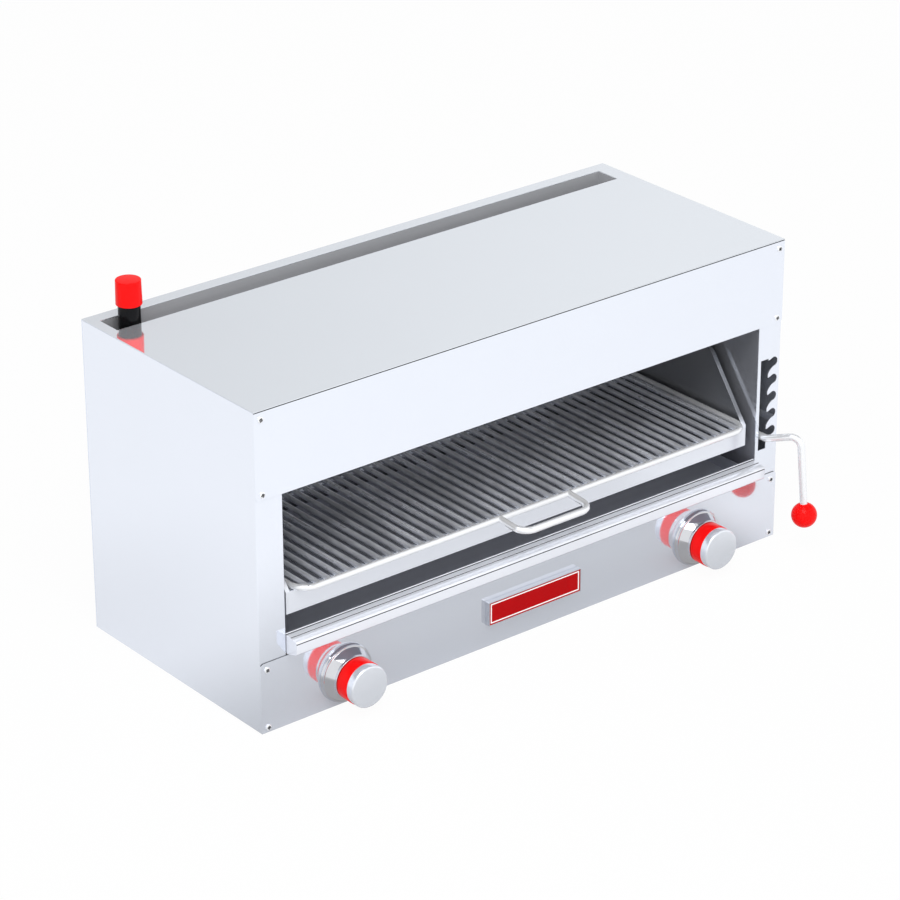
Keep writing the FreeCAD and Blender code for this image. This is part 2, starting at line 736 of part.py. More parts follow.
def stop_collar():
    """Clamped ring on which the lower ear comes to rest."""
    top = EAR_BOTTOM
    profile = [
        (GUIDE_RADIUS, top - COLLAR_HEIGHT),
        (COLLAR_RADIUS, top - COLLAR_HEIGHT),
        (COLLAR_RADIUS, top),
        (GUIDE_RADIUS, top),
    ]
    return upright(profile, GUIDE_X, deep(GUIDE_DEPTH))


def guide_bracket():
    """Small angle on the liner that holds the top of the guide rod."""
    top = LINER_TOP - BRACKET_DROP
    reach = GUIDE_X + GUIDE_RADIUS + EAR_MARGIN
    y0 = deep(GUIDE_DEPTH - EAR_WIDTH / 2)
    outline = [
        (LINER_OUTER, top - BRACKET_LEG / 2),
        (LINER_OUTER, top),
        (reach, top),
        (reach, top - SHEET),
        (LINER_OUTER + SHEET, top - SHEET),
        (LINER_OUTER + SHEET, top - BRACKET_LEG / 2),
    ]
    bracket = prism([point(x, y0, z) for x, z in outline], point(0, EAR_WIDTH, 0))
    axis = point(GUIDE_X, deep(GUIDE_DEPTH), top - BRACKET_LEG)
    return bracket.cut(rod(GUIDE_RADIUS, axis, axis + point(0, 0, 2 * BRACKET_LEG)))


# Lever

def swing_axis():
    """Direction of the lever's pin, square to the slope of the gate's fingers."""
    tilt = math.radians(LEVER_TILT)
    return point(-math.sin(tilt), 0, math.cos(tilt))


def swing_centre():
    return point(LEVER_GATE_X, deep(LEVER_PIVOT_DEPTH), LEVER_HEIGHT)


def lever_corner():
    reach = deep(-LEVER_CORNER_REACH)
    return point(LEVER_GATE_X + LEVER_CORNER_OFFSET, reach, LEVER_HEIGHT + LEVER_CORNER_RISE)


def ball_centre():
    reach = deep(-LEVER_BALL_REACH)
    return point(LEVER_GATE_X + LEVER_BALL_OFFSET, reach, LEVER_HEIGHT - LEVER_BALL_DROP)


def shelf_height(x):
    """Height of the lever shelf's underside, which slopes with the fingers."""
    drop = (EYE_THICKNESS / 2 + SEAT_GAP + SHELF_THICKNESS) / math.cos(math.radians(LEVER_TILT))
    return LEVER_HEIGHT - drop + (x - LEVER_GATE_X) * math.tan(math.radians(LEVER_TILT))


def lever_shelf():
    """Bent plate from the carrier's cheek out through the liner, bored for the pin."""
    reach = LEVER_GATE_X + EYE_RADIUS
    thick = SHELF_THICKNESS / math.cos(math.radians(LEVER_TILT))
    root = CARRIER_HALF + SHELF_THICKNESS
    outline = [
        (CARRIER_HALF, shelf_height(CARRIER_HALF)),
        (reach, shelf_height(reach)),
        (reach, shelf_height(reach) + thick),
        (root, shelf_height(root) + thick),
        (root, shelf_height(root) + SHELF_WIDTH),
        (CARRIER_HALF, shelf_height(root) + SHELF_WIDTH),
    ]
    y0 = deep(LEVER_PIVOT_DEPTH - SHELF_WIDTH / 2)
    plate = prism([point(x, y0, z) for x, z in outline], point(0, SHELF_WIDTH, 0))
    axis = swing_axis()
    middle = swing_centre()
    return plate.cut(rod(PIN_RADIUS, middle - axis * EYE_RADIUS, middle + axis * EYE_RADIUS))


def lever_pin():
    """Shouldered pin through the lever's eye, with a flat head above it."""
    axis = swing_axis()
    middle = swing_centre()
    bottom = middle - axis * (EYE_THICKNESS / 2 + SEAT_GAP + SHELF_THICKNESS)
    top = middle + axis * (EYE_THICKNESS / 2 + SEAT_GAP)
    head = rod(PIN_HEAD_RADIUS, top, top + axis * PIN_HEAD_HEIGHT)
    return fuse(rod(PIN_RADIUS, bottom, top), head)


def lever_rod():
    """Bent bar with a flattened eye, ending in the ball."""
    middle = swing_centre()
    axis = swing_axis()
    half = axis * (EYE_THICKNESS / 2)
    eye = rod(EYE_RADIUS, middle - half, middle + half)
    start = middle - point(0, PIN_HEAD_RADIUS + SEAT_GAP, 0)
    crank = point(LEVER_GATE_X, deep(-LEVER_CRANK_REACH), LEVER_HEIGHT)
    bar = bent_rod([start, crank, lever_corner(), ball_centre()], LEVER_BEND, LEVER_RADIUS)
    bore = rod(PIN_RADIUS + PIN_FIT, middle - axis * EYE_RADIUS, middle + axis * EYE_RADIUS)
    return fuse(eye, bar).cut(bore)


def ball_knob():
    """Ball screwed on the end of the lever."""
    centre = ball_centre()
    up = (lever_corner() - centre).normalize()
    ball = Part.makeSphere(BALL_RADIUS, centre)
    socket = rod(LEVER_RADIUS, centre, centre + up * (BALL_RADIUS + OVERRUN))
    return ball.cut(socket)


# Wire grate

def grate_level():
    """Height of the axis of the grate's bars, which rest on the carrier's edges."""
    return APRON_TOP + SEAT_GAP + FRAME_ROD_RADIUS


def flat_sided_bar(radius, start, end):
    """Bar between two places, drawn with a few flats."""
    along = end - start
    corners = []
    for number in range(ROD_SIDES_COUNT):
        angle = math.radians(360 * (number + 1 / 2) / ROD_SIDES_COUNT)
        corners.append(start + point(radius * math.cos(angle), 0, radius * math.sin(angle)))
    return prism(corners, along)


def grate_edge():
    """Perimeter bar with round corners, on which every rod ends."""
    side = CARRIER_HALF - CARRIER_EDGE_FLANGE - GRATE_SIDE_GAP - FRAME_ROD_RADIUS
    front = deep(GRATE_FRONT_DEPTH)
    rear = deep(CARRIER_BACK_DEPTH - SHEET - GRATE_BACK_GAP - FRAME_ROD_RADIUS)
    z = grate_level()
    path = [point(0, front, z), point(side, front, z), point(side, rear, z), point(0, rear, z)]
    right = bent_rod(path, GRATE_CORNER, FRAME_ROD_RADIUS)
    return fuse(right, mirrored(right)), side, rear


def grate():
    """Welded grate: perimeter bar, lengthwise rods and a stop bar below."""
    edge, side, rear = grate_edge()
    each_side = int((side - FRAME_ROD_RADIUS - ROD_RADIUS - ROD_END_GAP) / ROD_PITCH)
    rods = []
    for number in range(-each_side, each_side + 1):
        start = point(number * ROD_PITCH, deep(GRATE_FRONT_DEPTH), grate_level())
        rods.append(flat_sided_bar(ROD_RADIUS, start, point(start.x, rear, start.z)))
    reach = each_side * ROD_PITCH + ROD_RADIUS
    low = grate_level() - ROD_RADIUS - STOP_ROD_RADIUS + SEAT_GAP
    depth = deep(CARRIER_BACK_DEPTH - STOP_ROD_INSET)
    stop = rod(STOP_ROD_RADIUS, point(-reach, depth, low), point(reach, depth, low))
    return fuse(edge, stop, *rods)


def grate_handle():
    """Bow handle welded to the front of the grate."""
    half = HANDLE_SPREAD / 2
    start = GRATE_FRONT_DEPTH - FRAME_ROD_RADIUS + HANDLE_WELD
    reach = GRATE_FRONT_DEPTH - HANDLE_REACH
    low = grate_level() - HANDLE_DROP
    path = [
        point(-half, deep(start), grate_level()),
        point(-half, deep(reach), low),
        point(half, deep(reach), low),
        point(half, deep(start), grate_level()),
    ]
    bow = bent_rod(path, HANDLE_BEND, HANDLE_RADIUS)
    bar = rod(FRAME_ROD_RADIUS, point(-SIDE, deep(GRATE_FRONT_DEPTH), grate_level()),
              point(SIDE, deep(GRATE_FRONT_DEPTH), grate_level()))
    return bow.cut(bar)


# Drip tray

def drip_tray():
    """Open pan that slides on the chamber floor."""
    half = OPENING - TRAY_SIDE_GAP
    bottom = FLOOR_TOP + SEAT_GAP
    top = bottom + TRAY_WALL_HEIGHT
    front = deep(TRAY_FRONT_DEPTH)
    rear = deep(LINER_BACK_DEPTH - TRAY_BACK_GAP)
    block = box(-half, half, front, rear, bottom, top)
    block = rounded(block, FASCIA_CORNER, upright_edge)
    hollow = box(-half + SHEET, half - SHEET, front + SHEET, rear - SHEET, bottom + SHEET, top + OVERRUN)
    hollow = rounded(hollow, FASCIA_CORNER - SHEET, upright_edge)
    return block.cut(hollow)


def tray_lip():
    """Folded nose across the front of the tray, closed at both ends."""
    half = OPENING - LIP_SIDE_GAP
    outline = [
        (TRAY_FRONT_DEPTH, LIP_BOTTOM),
        (TRAY_FRONT_DEPTH, LIP_TOP),
        (TRAY_FRONT_DEPTH - LIP_BEAD, LIP_TOP),
        (TRAY_FRONT_DEPTH - LIP_BEAD, LIP_TOP - LIP_BEAD / 2),
        (0, LIP_TOP - LIP_BEAD / 2),
        (-LIP_REACH, LIP_NOSE_TOP),
        (-LIP_REACH, LIP_NOSE_BOTTOM),
        (0, LIP_BOTTOM),
    ]
    nose = side_prism(outline, -half, half)
    front = deep(-LIP_REACH)
    nose = rounded(nose, LIP_ROUND, lambda e: e.BoundBox.YMax < front + SHEET / 2)
    wall = [
        (TRAY_FRONT_DEPTH - SHEET, LIP_BOTTOM + SHEET),
        (TRAY_FRONT_DEPTH - SHEET, LIP_NOSE_TOP - SHEET),
        (SHEET - LIP_REACH, LIP_NOSE_TOP - SHEET),
        (SHEET - LIP_REACH, LIP_NOSE_BOTTOM + SHEET),
    ]
    return nose.cut(side_prism(wall, SHEET - half, half - SHEET))


# Knobs, bezels and valves

def knob_centre(x):
    return point(x, FRONT, KNOB_HEIGHT)


def bezel(x):
    """Pressed cone with a stepped rim, open towards the panel."""
    profile = [
        (0, BEZEL_RADIUS - BEZEL_RIM),
        (0, BEZEL_RADIUS),
        (BEZEL_RIM, BEZEL_RADIUS),
        (BEZEL_STEP_DEPTH - BEZEL_RIM, BEZEL_STEP_RADIUS),
        (BEZEL_STEP_DEPTH, BEZEL_STEP_RADIUS),
        (BEZEL_STEP_DEPTH, BEZEL_CONE_RADIUS),
        (BEZEL_COLLAR_DEPTH, BEZEL_COLLAR_RADIUS),
        (BEZEL_LENGTH, BEZEL_COLLAR_RADIUS),
        (BEZEL_LENGTH, SHAFT_HOLE_RADIUS),
        (BEZEL_LENGTH - BEZEL_WALL, SHAFT_HOLE_RADIUS),
        (BEZEL_COLLAR_DEPTH, BEZEL_COLLAR_RADIUS - BEZEL_WALL),
        (BEZEL_STEP_DEPTH - BEZEL_WALL, BEZEL_CONE_RADIUS - BEZEL_WALL),
    ]
    return turned(profile, knob_centre(x))


def knob_ring(x):
    """Coloured body of the knob, hollow behind, with the stem's socket."""
    start = BEZEL_LENGTH + KNOB_RUNNING_GAP
    profile = [
        (start, RING_RADIUS - BEZEL_WALL),
        (start, RING_RADIUS),
        (RING_END, RING_RADIUS),
        (RING_END, STEM_RADIUS),
        (start, STEM_RADIUS),
        (start, NIPPLE_RADIUS),
        (STEM_SOCKET_DEPTH, NIPPLE_RADIUS),
        (STEM_SOCKET_DEPTH, RING_RADIUS - BEZEL_WALL),
    ]
    return turned(profile, knob_centre(x))


def knob_cap(x):
    """Turned disc on the front of the knob."""
    profile = [
        (RING_END, 0),
        (RING_END, CAP_RADIUS),
        (KNOB_REACH - CAP_EDGE, CAP_RADIUS),
        (KNOB_REACH, CAP_RADIUS - CAP_EDGE),
        (KNOB_REACH, 0),
    ]
    return turned(profile, knob_centre(x))


def valve_stem(x):
    start = point(x, deep(STEM_END_DEPTH), KNOB_HEIGHT)
    return rod(STEM_RADIUS, start, point(x, deep(-RING_END), KNOB_HEIGHT))


def gas_valve(x, side):
    """Valve body between the panel and the manifold, with one outlet to the side."""
    profile = [
        (-VALVE_FRONT_DEPTH, 0),
        (-VALVE_FRONT_DEPTH, VALVE_NECK_RADIUS),
        (-VALVE_FRONT_DEPTH - VALVE_NECK_LENGTH, VALVE_NECK_RADIUS),
        (-VALVE_FRONT_DEPTH - VALVE_NECK_LENGTH, VALVE_BODY_RADIUS),
        (-VALVE_BACK_DEPTH, VALVE_BODY_RADIUS),
        (-VALVE_BACK_DEPTH, NIPPLE_RADIUS),
        (MANIFOLD_RADIUS - MANIFOLD_DEPTH, NIPPLE_RADIUS),
        (MANIFOLD_RADIUS - MANIFOLD_DEPTH, 0),
    ]
    body = turned(profile, knob_centre(x))
    outlet = point(x, deep(OUTLET_DEPTH), KNOB_HEIGHT)
    arm = rod(OUTLET_RADIUS, outlet, outlet + point(side * OUTLET_REACH, 0, 0))
    bore = hole_along_y(x, KNOB_HEIGHT, STEM_RADIUS + STEM_FIT, deep(0), deep(STEM_END_DEPTH + STEM_FIT))
    manifold = rod(MANIFOLD_RADIUS, point(-SIDE, deep(MANIFOLD_DEPTH), KNOB_HEIGHT),
                   point(SIDE, deep(MANIFOLD_DEPTH), KNOB_HEIGHT))
    return fuse(body, arm).cut(fuse(bore, manifold))


# Gas pipework

def pipe_along(points, bend, radius, wall):
    """Hollow pipe, open at both ends."""
    return bent_rod(points, bend, radius).cut(bent_rod(points, bend, radius - wall))


def inlet_pipe():
    """Threaded iron pipe that rises through the flue slot."""
    low = KNOB_HEIGHT
    path = [
        point(INLET_X, deep(INLET_DEPTH), INLET_TOP),
        point(INLET_X, deep(INLET_DEPTH), low),
        point(INLET_X, deep(MANIFOLD_DEPTH + ELBOW_LEG), low),
    ]
    return pipe_along(path, INLET_BEND, INLET_RADIUS, INLET_WALL)


def pipe_elbow():
    """Beaded elbow from the inlet pipe to the manifold, drilled from both ends."""
    corner = point(INLET_X, deep(MANIFOLD_DEPTH), KNOB_HEIGHT)
    rear = corner + point(0, ELBOW_LEG, 0)
    right = corner + point(ELBOW_LEG, 0, 0)
    body = [rod(ELBOW_RADIUS, corner, rear), rod(ELBOW_RADIUS, corner, right)]
    beads = [
        rod(ELBOW_BEAD_RADIUS, rear - point(0, ELBOW_BEAD, 0), rear),
        rod(ELBOW_BEAD_RADIUS, right - point(ELBOW_BEAD, 0, 0), right),
    ]
    drill = MANIFOLD_RADIUS - MANIFOLD_WALL
    bore = fuse(rod(drill, corner, rear), rod(drill, corner, right))
    return fuse(Part.makeSphere(ELBOW_RADIUS, corner), *body, *beads).cut(bore)


def manifold_pipe():
    """Closed cross pipe that feeds both valves."""
    start = point(INLET_X + ELBOW_LEG, deep(MANIFOLD_DEPTH), KNOB_HEIGHT)
    end = point(RIGHT_KNOB_X + MANIFOLD_OVERHANG, start.y, start.z)
    bore = rod(MANIFOLD_RADIUS - MANIFOLD_WALL, start, end - point(MANIFOLD_WALL, 0, 0))
    return rod(MANIFOLD_RADIUS, start, end).cut(bore)


def supply_tube(x, side):
    """Tube from a valve to the orifice of its burner, up the side compartment."""
    reach = side * SUPPLY_X
    path = [
        point(x + side * OUTLET_REACH, deep(OUTLET_DEPTH), KNOB_HEIGHT),
        point(reach, deep(OUTLET_DEPTH), KNOB_HEIGHT),
        point(reach, deep(SUPPLY_DEPTH), KNOB_HEIGHT),
        point(reach, deep(SUPPLY_DEPTH), VENTURI_HEIGHT - ORIFICE_RADIUS),
    ]
    return bent_rod(path, SUPPLY_BEND, SUPPLY_RADIUS)


def orifice():
    """Hexagonal elbow and nozzle at the mouth of the right venturi."""
    centre = point(SUPPLY_X, deep(SUPPLY_DEPTH), VENTURI_HEIGHT)
    block = box(
        centre.x - ORIFICE_HALF, centre.x + ORIFICE_HALF,
        centre.y - ORIFICE_HALF, centre.y + ORIFICE_HALF,
        centre.z - ORIFICE_RADIUS, centre.z + ORIFICE_RADIUS,
    )
    tip = centre - point(ORIFICE_HALF + ORIFICE_NOSE, 0, 0)
    return fuse(block, rod(ORIFICE_NOSE_RADIUS, centre, tip))


def inlet_cap():
    """Push-on cap that keeps dirt out of the pipe."""
    inner = INLET_RADIUS + INLET_CAP_FIT
    top = INLET_CAP_TOP
    roof = INLET_TOP + SEAT_GAP
    profile = [
        (inner, INLET_CAP_BOTTOM),
        (INLET_CAP_RADIUS, INLET_CAP_BOTTOM),
        (INLET_CAP_RADIUS - INLET_CAP_TAPER, top - INLET_CAP_EDGE),
        (INLET_CAP_RADIUS - INLET_CAP_TAPER - INLET_CAP_EDGE, top),
        (0, top),
        (0, roof),
        (inner, roof),
    ]
    return upright(profile, INLET_X, deep(INLET_DEPTH))


# Burners

def burner():
    """Right burner: a pressed plenum under its hanger plate, with the venturi on top."""
    half = BURNER_WIDTH / 2
    middle = BURNER_X
    front = BURNER_FRONT_DEPTH
    rear = BURNER_BACK_DEPTH
    seat = BURNER_SEAT
    plenum = box(middle - half, middle + half, deep(front), deep(rear), BURNER_BOTTOM, seat)
    hollow = box(
        middle - half + BURNER_WALL, middle + half - BURNER_WALL,
        deep(front + BURNER_WALL), deep(rear - BURNER_WALL),
        BURNER_BOTTOM - OVERRUN, seat,
    )
    plate = box(
        middle - half, middle + half,
        deep(front - BURNER_FLANGE), deep(rear + BURNER_FLANGE),
        seat, BURNER_SEAT + FLANGE_THICKNESS,
    )
    path = [
        point(VENTURI_MOUTH_X, deep(SUPPLY_DEPTH), VENTURI_HEIGHT),
        point(middle, deep(SUPPLY_DEPTH), VENTURI_HEIGHT),
        point(middle, deep(SUPPLY_DEPTH), seat),
    ]
    tube = bent_rod(path, VENTURI_BEND, VENTURI_RADIUS)
    mouth = path[0]
    flare = Part.makeCone(
        VENTURI_RADIUS, VENTURI_FLARE, VENTURI_FLARE_LENGTH,
        mouth - point(VENTURI_FLARE_LENGTH, 0, 0), point(1, 0, 0),
    )
    bore = bent_rod(path, VENTURI_BEND, VENTURI_RADIUS - VENTURI_WALL)
    bell = Part.makeCone(
        VENTURI_RADIUS - VENTURI_WALL, VENTURI_FLARE - VENTURI_WALL, VENTURI_FLARE_LENGTH,
        mouth - point(VENTURI_FLARE_LENGTH, 0, 0), point(1, 0, 0),
    )
    return fuse(plenum.cut(hollow), plate, tube, flare).cut(fuse(bore, bell))


def burner_tiles():
    """Six ceramic tiles that close the right plenum."""
    inner = BURNER_WIDTH - 2 * BURNER_WALL
    depth = BURNER_BACK_DEPTH - BURNER_FRONT_DEPTH - 2 * BURNER_WALL
    pitch_x = (inner - TILE_GAP) / TILE_COLUMN_COUNT
    pitch_y = (depth - TILE_GAP) / TILE_ROW_COUNT
    left = BURNER_X - inner / 2 + TILE_GAP
    front = BURNER_FRONT_DEPTH + BURNER_WALL + TILE_GAP
    tiles = []
    for column in range(TILE_COLUMN_COUNT):
        for row in range(TILE_ROW_COUNT):
            x = left + column * pitch_x
            y = deep(front + row * pitch_y)
            z = BURNER_BOTTOM + TILE_SINK
            tiles.append(box(x, x + pitch_x - TILE_GAP, y, y + pitch_y - TILE_GAP, z, z + TILE_THICKNESS))
    return Part.makeCompound(tiles)


def burner_screen():
    """Slotted guard hung below the right burner's tiles."""
    half = BURNER_WIDTH / 2
    middle = BURNER_X
    front = BURNER_FRONT_DEPTH
    rear = BURNER_BACK_DEPTH
    z = BURNER_BOTTOM - SCREEN_DROP
    plate = box(middle - half, middle + half, deep(front), deep(rear), z, z + SCREEN_THICKNESS)
    open_width = BURNER_WIDTH - 2 * SCREEN_RIM
    pitch = (open_width + SCREEN_BAR) / SCREEN_SLOT_COUNT
    for number in range(SCREEN_SLOT_COUNT):
        x = middle - half + SCREEN_RIM + number * pitch
        slot = box(
            x, x + pitch - SCREEN_BAR,
            deep(front + SCREEN_RIM), deep(rear - SCREEN_RIM),
            z - OVERRUN, z + SCREEN_THICKNESS + OVERRUN,
        )
        plate = plate.cut(slot)
    hooks = []
    for x in (middle - half, middle + half - SCREEN_HOOK_WIDTH):
        for y in (deep(front), deep(rear) - SCREEN_THICKNESS):
            hooks.append(box(x, x + SCREEN_HOOK_WIDTH, y, y + SCREEN_THICKNESS, z, BURNER_BOTTOM))
    return fuse(plate, *hooks)


def hanger_rails():
    """Two angles across the liners that carry both burners."""
    z = LINER_TOP
    top = z + RAIL_HEIGHT
    front = BURNER_FRONT_DEPTH - SHEET_FIT
    rear = BURNER_BACK_DEPTH + SHEET_FIT
    forward = [
        (front, z), (front, z + RAIL_THICKNESS),
        (front - RAIL_SEAT, z + RAIL_THICKNESS), (front - RAIL_SEAT, top),
        (front - RAIL_SEAT - RAIL_THICKNESS, top), (front - RAIL_SEAT - RAIL_THICKNESS, z),
    ]
    behind = [
        (rear, z), (rear, z + RAIL_THICKNESS),
        (rear + RAIL_SEAT, z + RAIL_THICKNESS), (rear + RAIL_SEAT, top),
        (rear + RAIL_SEAT + RAIL_THICKNESS, top), (rear + RAIL_SEAT + RAIL_THICKNESS, z),
    ]
    return side_prism(forward, -LINER_OUTER, LINER_OUTER), side_prism(behind, -LINER_OUTER, LINER_OUTER)


def heat_shield():
    """Sheet over the burners that keeps the top panel cool."""
    half = OPENING - SHIELD_MARGIN
    front = BURNER_FRONT_DEPTH - SHEET_FIT - RAIL_SEAT - RAIL_THICKNESS
    rear = BURNER_BACK_DEPTH + SHEET_FIT + RAIL_SEAT + RAIL_THICKNESS
    z = LINER_TOP + RAIL_HEIGHT
    outline = [
        (front - SHEET, z - SHIELD_LIP), (front - SHEET, z + SHEET),
        (rear + SHEET, z + SHEET), (rear + SHEET, z - SHIELD_LIP),
        (rear, z - SHIELD_LIP), (rear, z), (front, z), (front, z - SHIELD_LIP),
    ]
    return side_prism(outline, -half, half)


# Fasteners and trim

def screw(x, y, z, outward):
    """Low tapered head on a sheet."""
    crown = SCREW_HEAD_RADIUS - SCREW_HEAD_EDGE
    return Part.makeCone(SCREW_HEAD_RADIUS, crown, SCREW_HEAD_HEIGHT, point(x, y, z), point(0, outward, 0))


def panel_screws():
    """Eight front screws and six that hold the back."""
    edge = SIDE - SCREW_INSET
    heights = [
        BODY_HEIGHT - FASCIA_SCREW_DROP,
        FASCIA_BOTTOM + FASCIA_SCREW_RISE,
        PANEL_HEIGHT - PANEL_SCREW_DROP,
        PANEL_SCREW_RISE,
    ]
    screws = [screw(x, FRONT, z, -1) for x in (-edge, edge) for z in heights]
    rows = (BACK_SCREW_INSET, BODY_HEIGHT / 2, BODY_HEIGHT - BACK_SCREW_INSET)
    screws += [screw(x, BACK, z, 1) for x in (-edge, edge) for z in rows]
    return Part.makeCompound(screws)


def badge_body():
    half = BADGE_WIDTH / 2
    low = BADGE_CENTRE - BADGE_HEIGHT / 2
    block = box(-half, half, deep(-BADGE_THICKNESS), FRONT, low, low + BADGE_HEIGHT)
    return rounded(block, BADGE_CORNER, lambda e: e.BoundBox.YLength > BADGE_THICKNESS / 2)


def badge_recess(depth):
    half = BADGE_WIDTH / 2 - BADGE_RIM
    low = BADGE_CENTRE - BADGE_HEIGHT / 2 + BADGE_RIM
    high = BADGE_CENTRE + BADGE_HEIGHT / 2 - BADGE_RIM
    front = deep(-BADGE_THICKNESS)
    return box(-half, half, front + BADGE_RECESS / 2 - depth, front + BADGE_RECESS, low, high)


def badge_frame():
    """Plate with a raised rim."""
    return badge_body().cut(badge_recess(OVERRUN))


def badge_inlay():
    """Plain enamelled face set in the rim."""
    return badge_recess(0)


def cabinet():
    both = side_panel()
    save("left_side_panel", mirrored(both))
    save("right_side_panel", both.cut(lever_gate()))
    save("top_panel", top_panel())
    save("front_fascia", front_fascia())
    save("control_panel", control_panel())
    save("back_panel", back_panel())
    save("base_pan", base_pan())
    save("chamber_floor", chamber_floor())
    liner = chamber_liner()
    save("left_liner", mirrored(liner))
    save("right_liner", liner.cut(lever_slot()))
    save("rear_liner", rear_liner())
    save("flue_duct", flue_duct())
    front_rail, rear_rail = hanger_rails()
    save("front_hanger_rail", front_rail)
    save("rear_hanger_rail", rear_rail)
    save("heat_shield", heat_shield())
    save("panel_screws", panel_screws())
    save("badge_frame", badge_frame())
    save("badge_inlay", badge_inlay())


def burners():
    both_sides("burner", burner())
    both_sides("burner_tiles", burner_tiles())
    both_sides("burner_screen", burner_screen())
    both_sides("orifice", orifice())


def gas_line():
    save("inlet_pipe", inlet_pipe())
    save("pipe_elbow", pipe_elbow())
    save("manifold_pipe", manifold_pipe())
    save("inlet_cap", inlet_cap())
    for name, x, side in (("left", LEFT_KNOB_X, -1), ("right", RIGHT_KNOB_X, 1)):
        save(name + "_gas_valve", gas_valve(x, side))
        save(name + "_supply_tube", supply_tube(x, side))
        save(name + "_bezel", bezel(x))
        save(name + "_knob_ring", knob_ring(x))
        save(name + "_knob_cap", knob_cap(x))
        save(name + "_valve_stem", valve_stem(x))


def lift():
    both_sides("guide_rod", guide_rod())
    both_sides("stop_collar", stop_collar())
    both_sides("guide_bracket", guide_bracket())
    both_sides("guide_ears", guide_ears())
    save("rack_carrier", rack_carrier())
    save("lever_shelf", lever_shelf())
    save("lever_pin", lever_pin())
    save("lever_rod", lever_rod())
    save("ball_knob", ball_knob())


def rack_and_tray():
    save("grate", grate())
    save("grate_handle", grate_handle())
    save("drip_tray", drip_tray())
    save("tray_lip", tray_lip())


os.makedirs("parts", exist_ok=True)
cabinet()
burners()
gas_line()
lift()
rack_and_tray()
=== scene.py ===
import json
import math

import bmesh
import bpy
from mathutils import Matrix, Vector


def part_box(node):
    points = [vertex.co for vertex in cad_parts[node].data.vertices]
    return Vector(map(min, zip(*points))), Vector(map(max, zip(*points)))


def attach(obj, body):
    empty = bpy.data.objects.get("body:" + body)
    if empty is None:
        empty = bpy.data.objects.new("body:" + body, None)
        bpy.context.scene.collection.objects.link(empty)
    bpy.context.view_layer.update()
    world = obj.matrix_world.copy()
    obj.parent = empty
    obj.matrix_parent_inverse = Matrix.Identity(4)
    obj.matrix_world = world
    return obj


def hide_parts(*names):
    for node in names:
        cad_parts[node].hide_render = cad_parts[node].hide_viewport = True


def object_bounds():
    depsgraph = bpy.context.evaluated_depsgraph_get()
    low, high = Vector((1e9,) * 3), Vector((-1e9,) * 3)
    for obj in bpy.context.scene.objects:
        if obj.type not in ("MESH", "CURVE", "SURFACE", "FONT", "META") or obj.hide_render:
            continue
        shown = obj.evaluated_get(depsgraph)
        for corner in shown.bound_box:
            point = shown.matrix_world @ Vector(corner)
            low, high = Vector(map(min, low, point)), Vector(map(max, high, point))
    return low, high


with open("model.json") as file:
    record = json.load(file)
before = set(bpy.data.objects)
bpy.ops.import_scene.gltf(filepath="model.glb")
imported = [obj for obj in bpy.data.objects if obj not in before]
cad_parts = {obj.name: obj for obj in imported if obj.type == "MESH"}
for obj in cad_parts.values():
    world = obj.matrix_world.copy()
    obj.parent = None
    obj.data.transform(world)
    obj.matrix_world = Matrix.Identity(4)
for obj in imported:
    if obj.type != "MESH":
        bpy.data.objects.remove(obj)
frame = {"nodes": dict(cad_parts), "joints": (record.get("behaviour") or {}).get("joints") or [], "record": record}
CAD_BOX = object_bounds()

bl_info = {
    "name": "Cheese melter finish",
    "version": (1, 0, 0),
    "blender": (4, 5, 0),
    "location": "View3D > Sidebar > Cheese melter",
    "description": "Finishes the surfaces of a countertop cheese melter and sets it in a studio",
    "category": "Object",
}

MM = 0.001
SMOOTH_ANGLE = math.radians(38)
BEVEL_ANGLE = math.radians(25)
ARC_STEPS = 10
SOFT_STEPS = 4
WELD_DISTANCE = 0.01 * MM
FLAT_ANGLE = math.radians(0.4)
NOSE_STEPS = 8
ROOM = 0.45  # how much of a side the rounding of each of its corners may take
FACING = 0.5  # how much of its normal a face turned along an axis has there
HAIR = 0.1 * MM  # play in finding the faces of a line or a recess


# What a user can change

def length(name, description, millimetres):
    return bpy.props.FloatProperty(
        name=name, description=description, default=millimetres * MM,
        subtype="DISTANCE", unit="LENGTH", precision=5,
    )


def metres(name, description, value):
    return bpy.props.FloatProperty(
        name=name, description=description, default=value, subtype="DISTANCE", unit="LENGTH",
    )


def turn(name, description, degrees):
    return bpy.props.FloatProperty(
        name=name, description=description, default=math.radians(degrees),
        subtype="ANGLE", unit="ROTATION",
    )


def share(name, description, value):
    return bpy.props.FloatProperty(
        name=name, description=description, default=value, min=0.0, max=1.0, subtype="FACTOR",
    )


def tint(name, description, value):
    return bpy.props.FloatVectorProperty(
        name=name, description=description, default=(*value, 1.0), size=4,
        min=0.0, max=1.0, subtype="COLOR",
    )


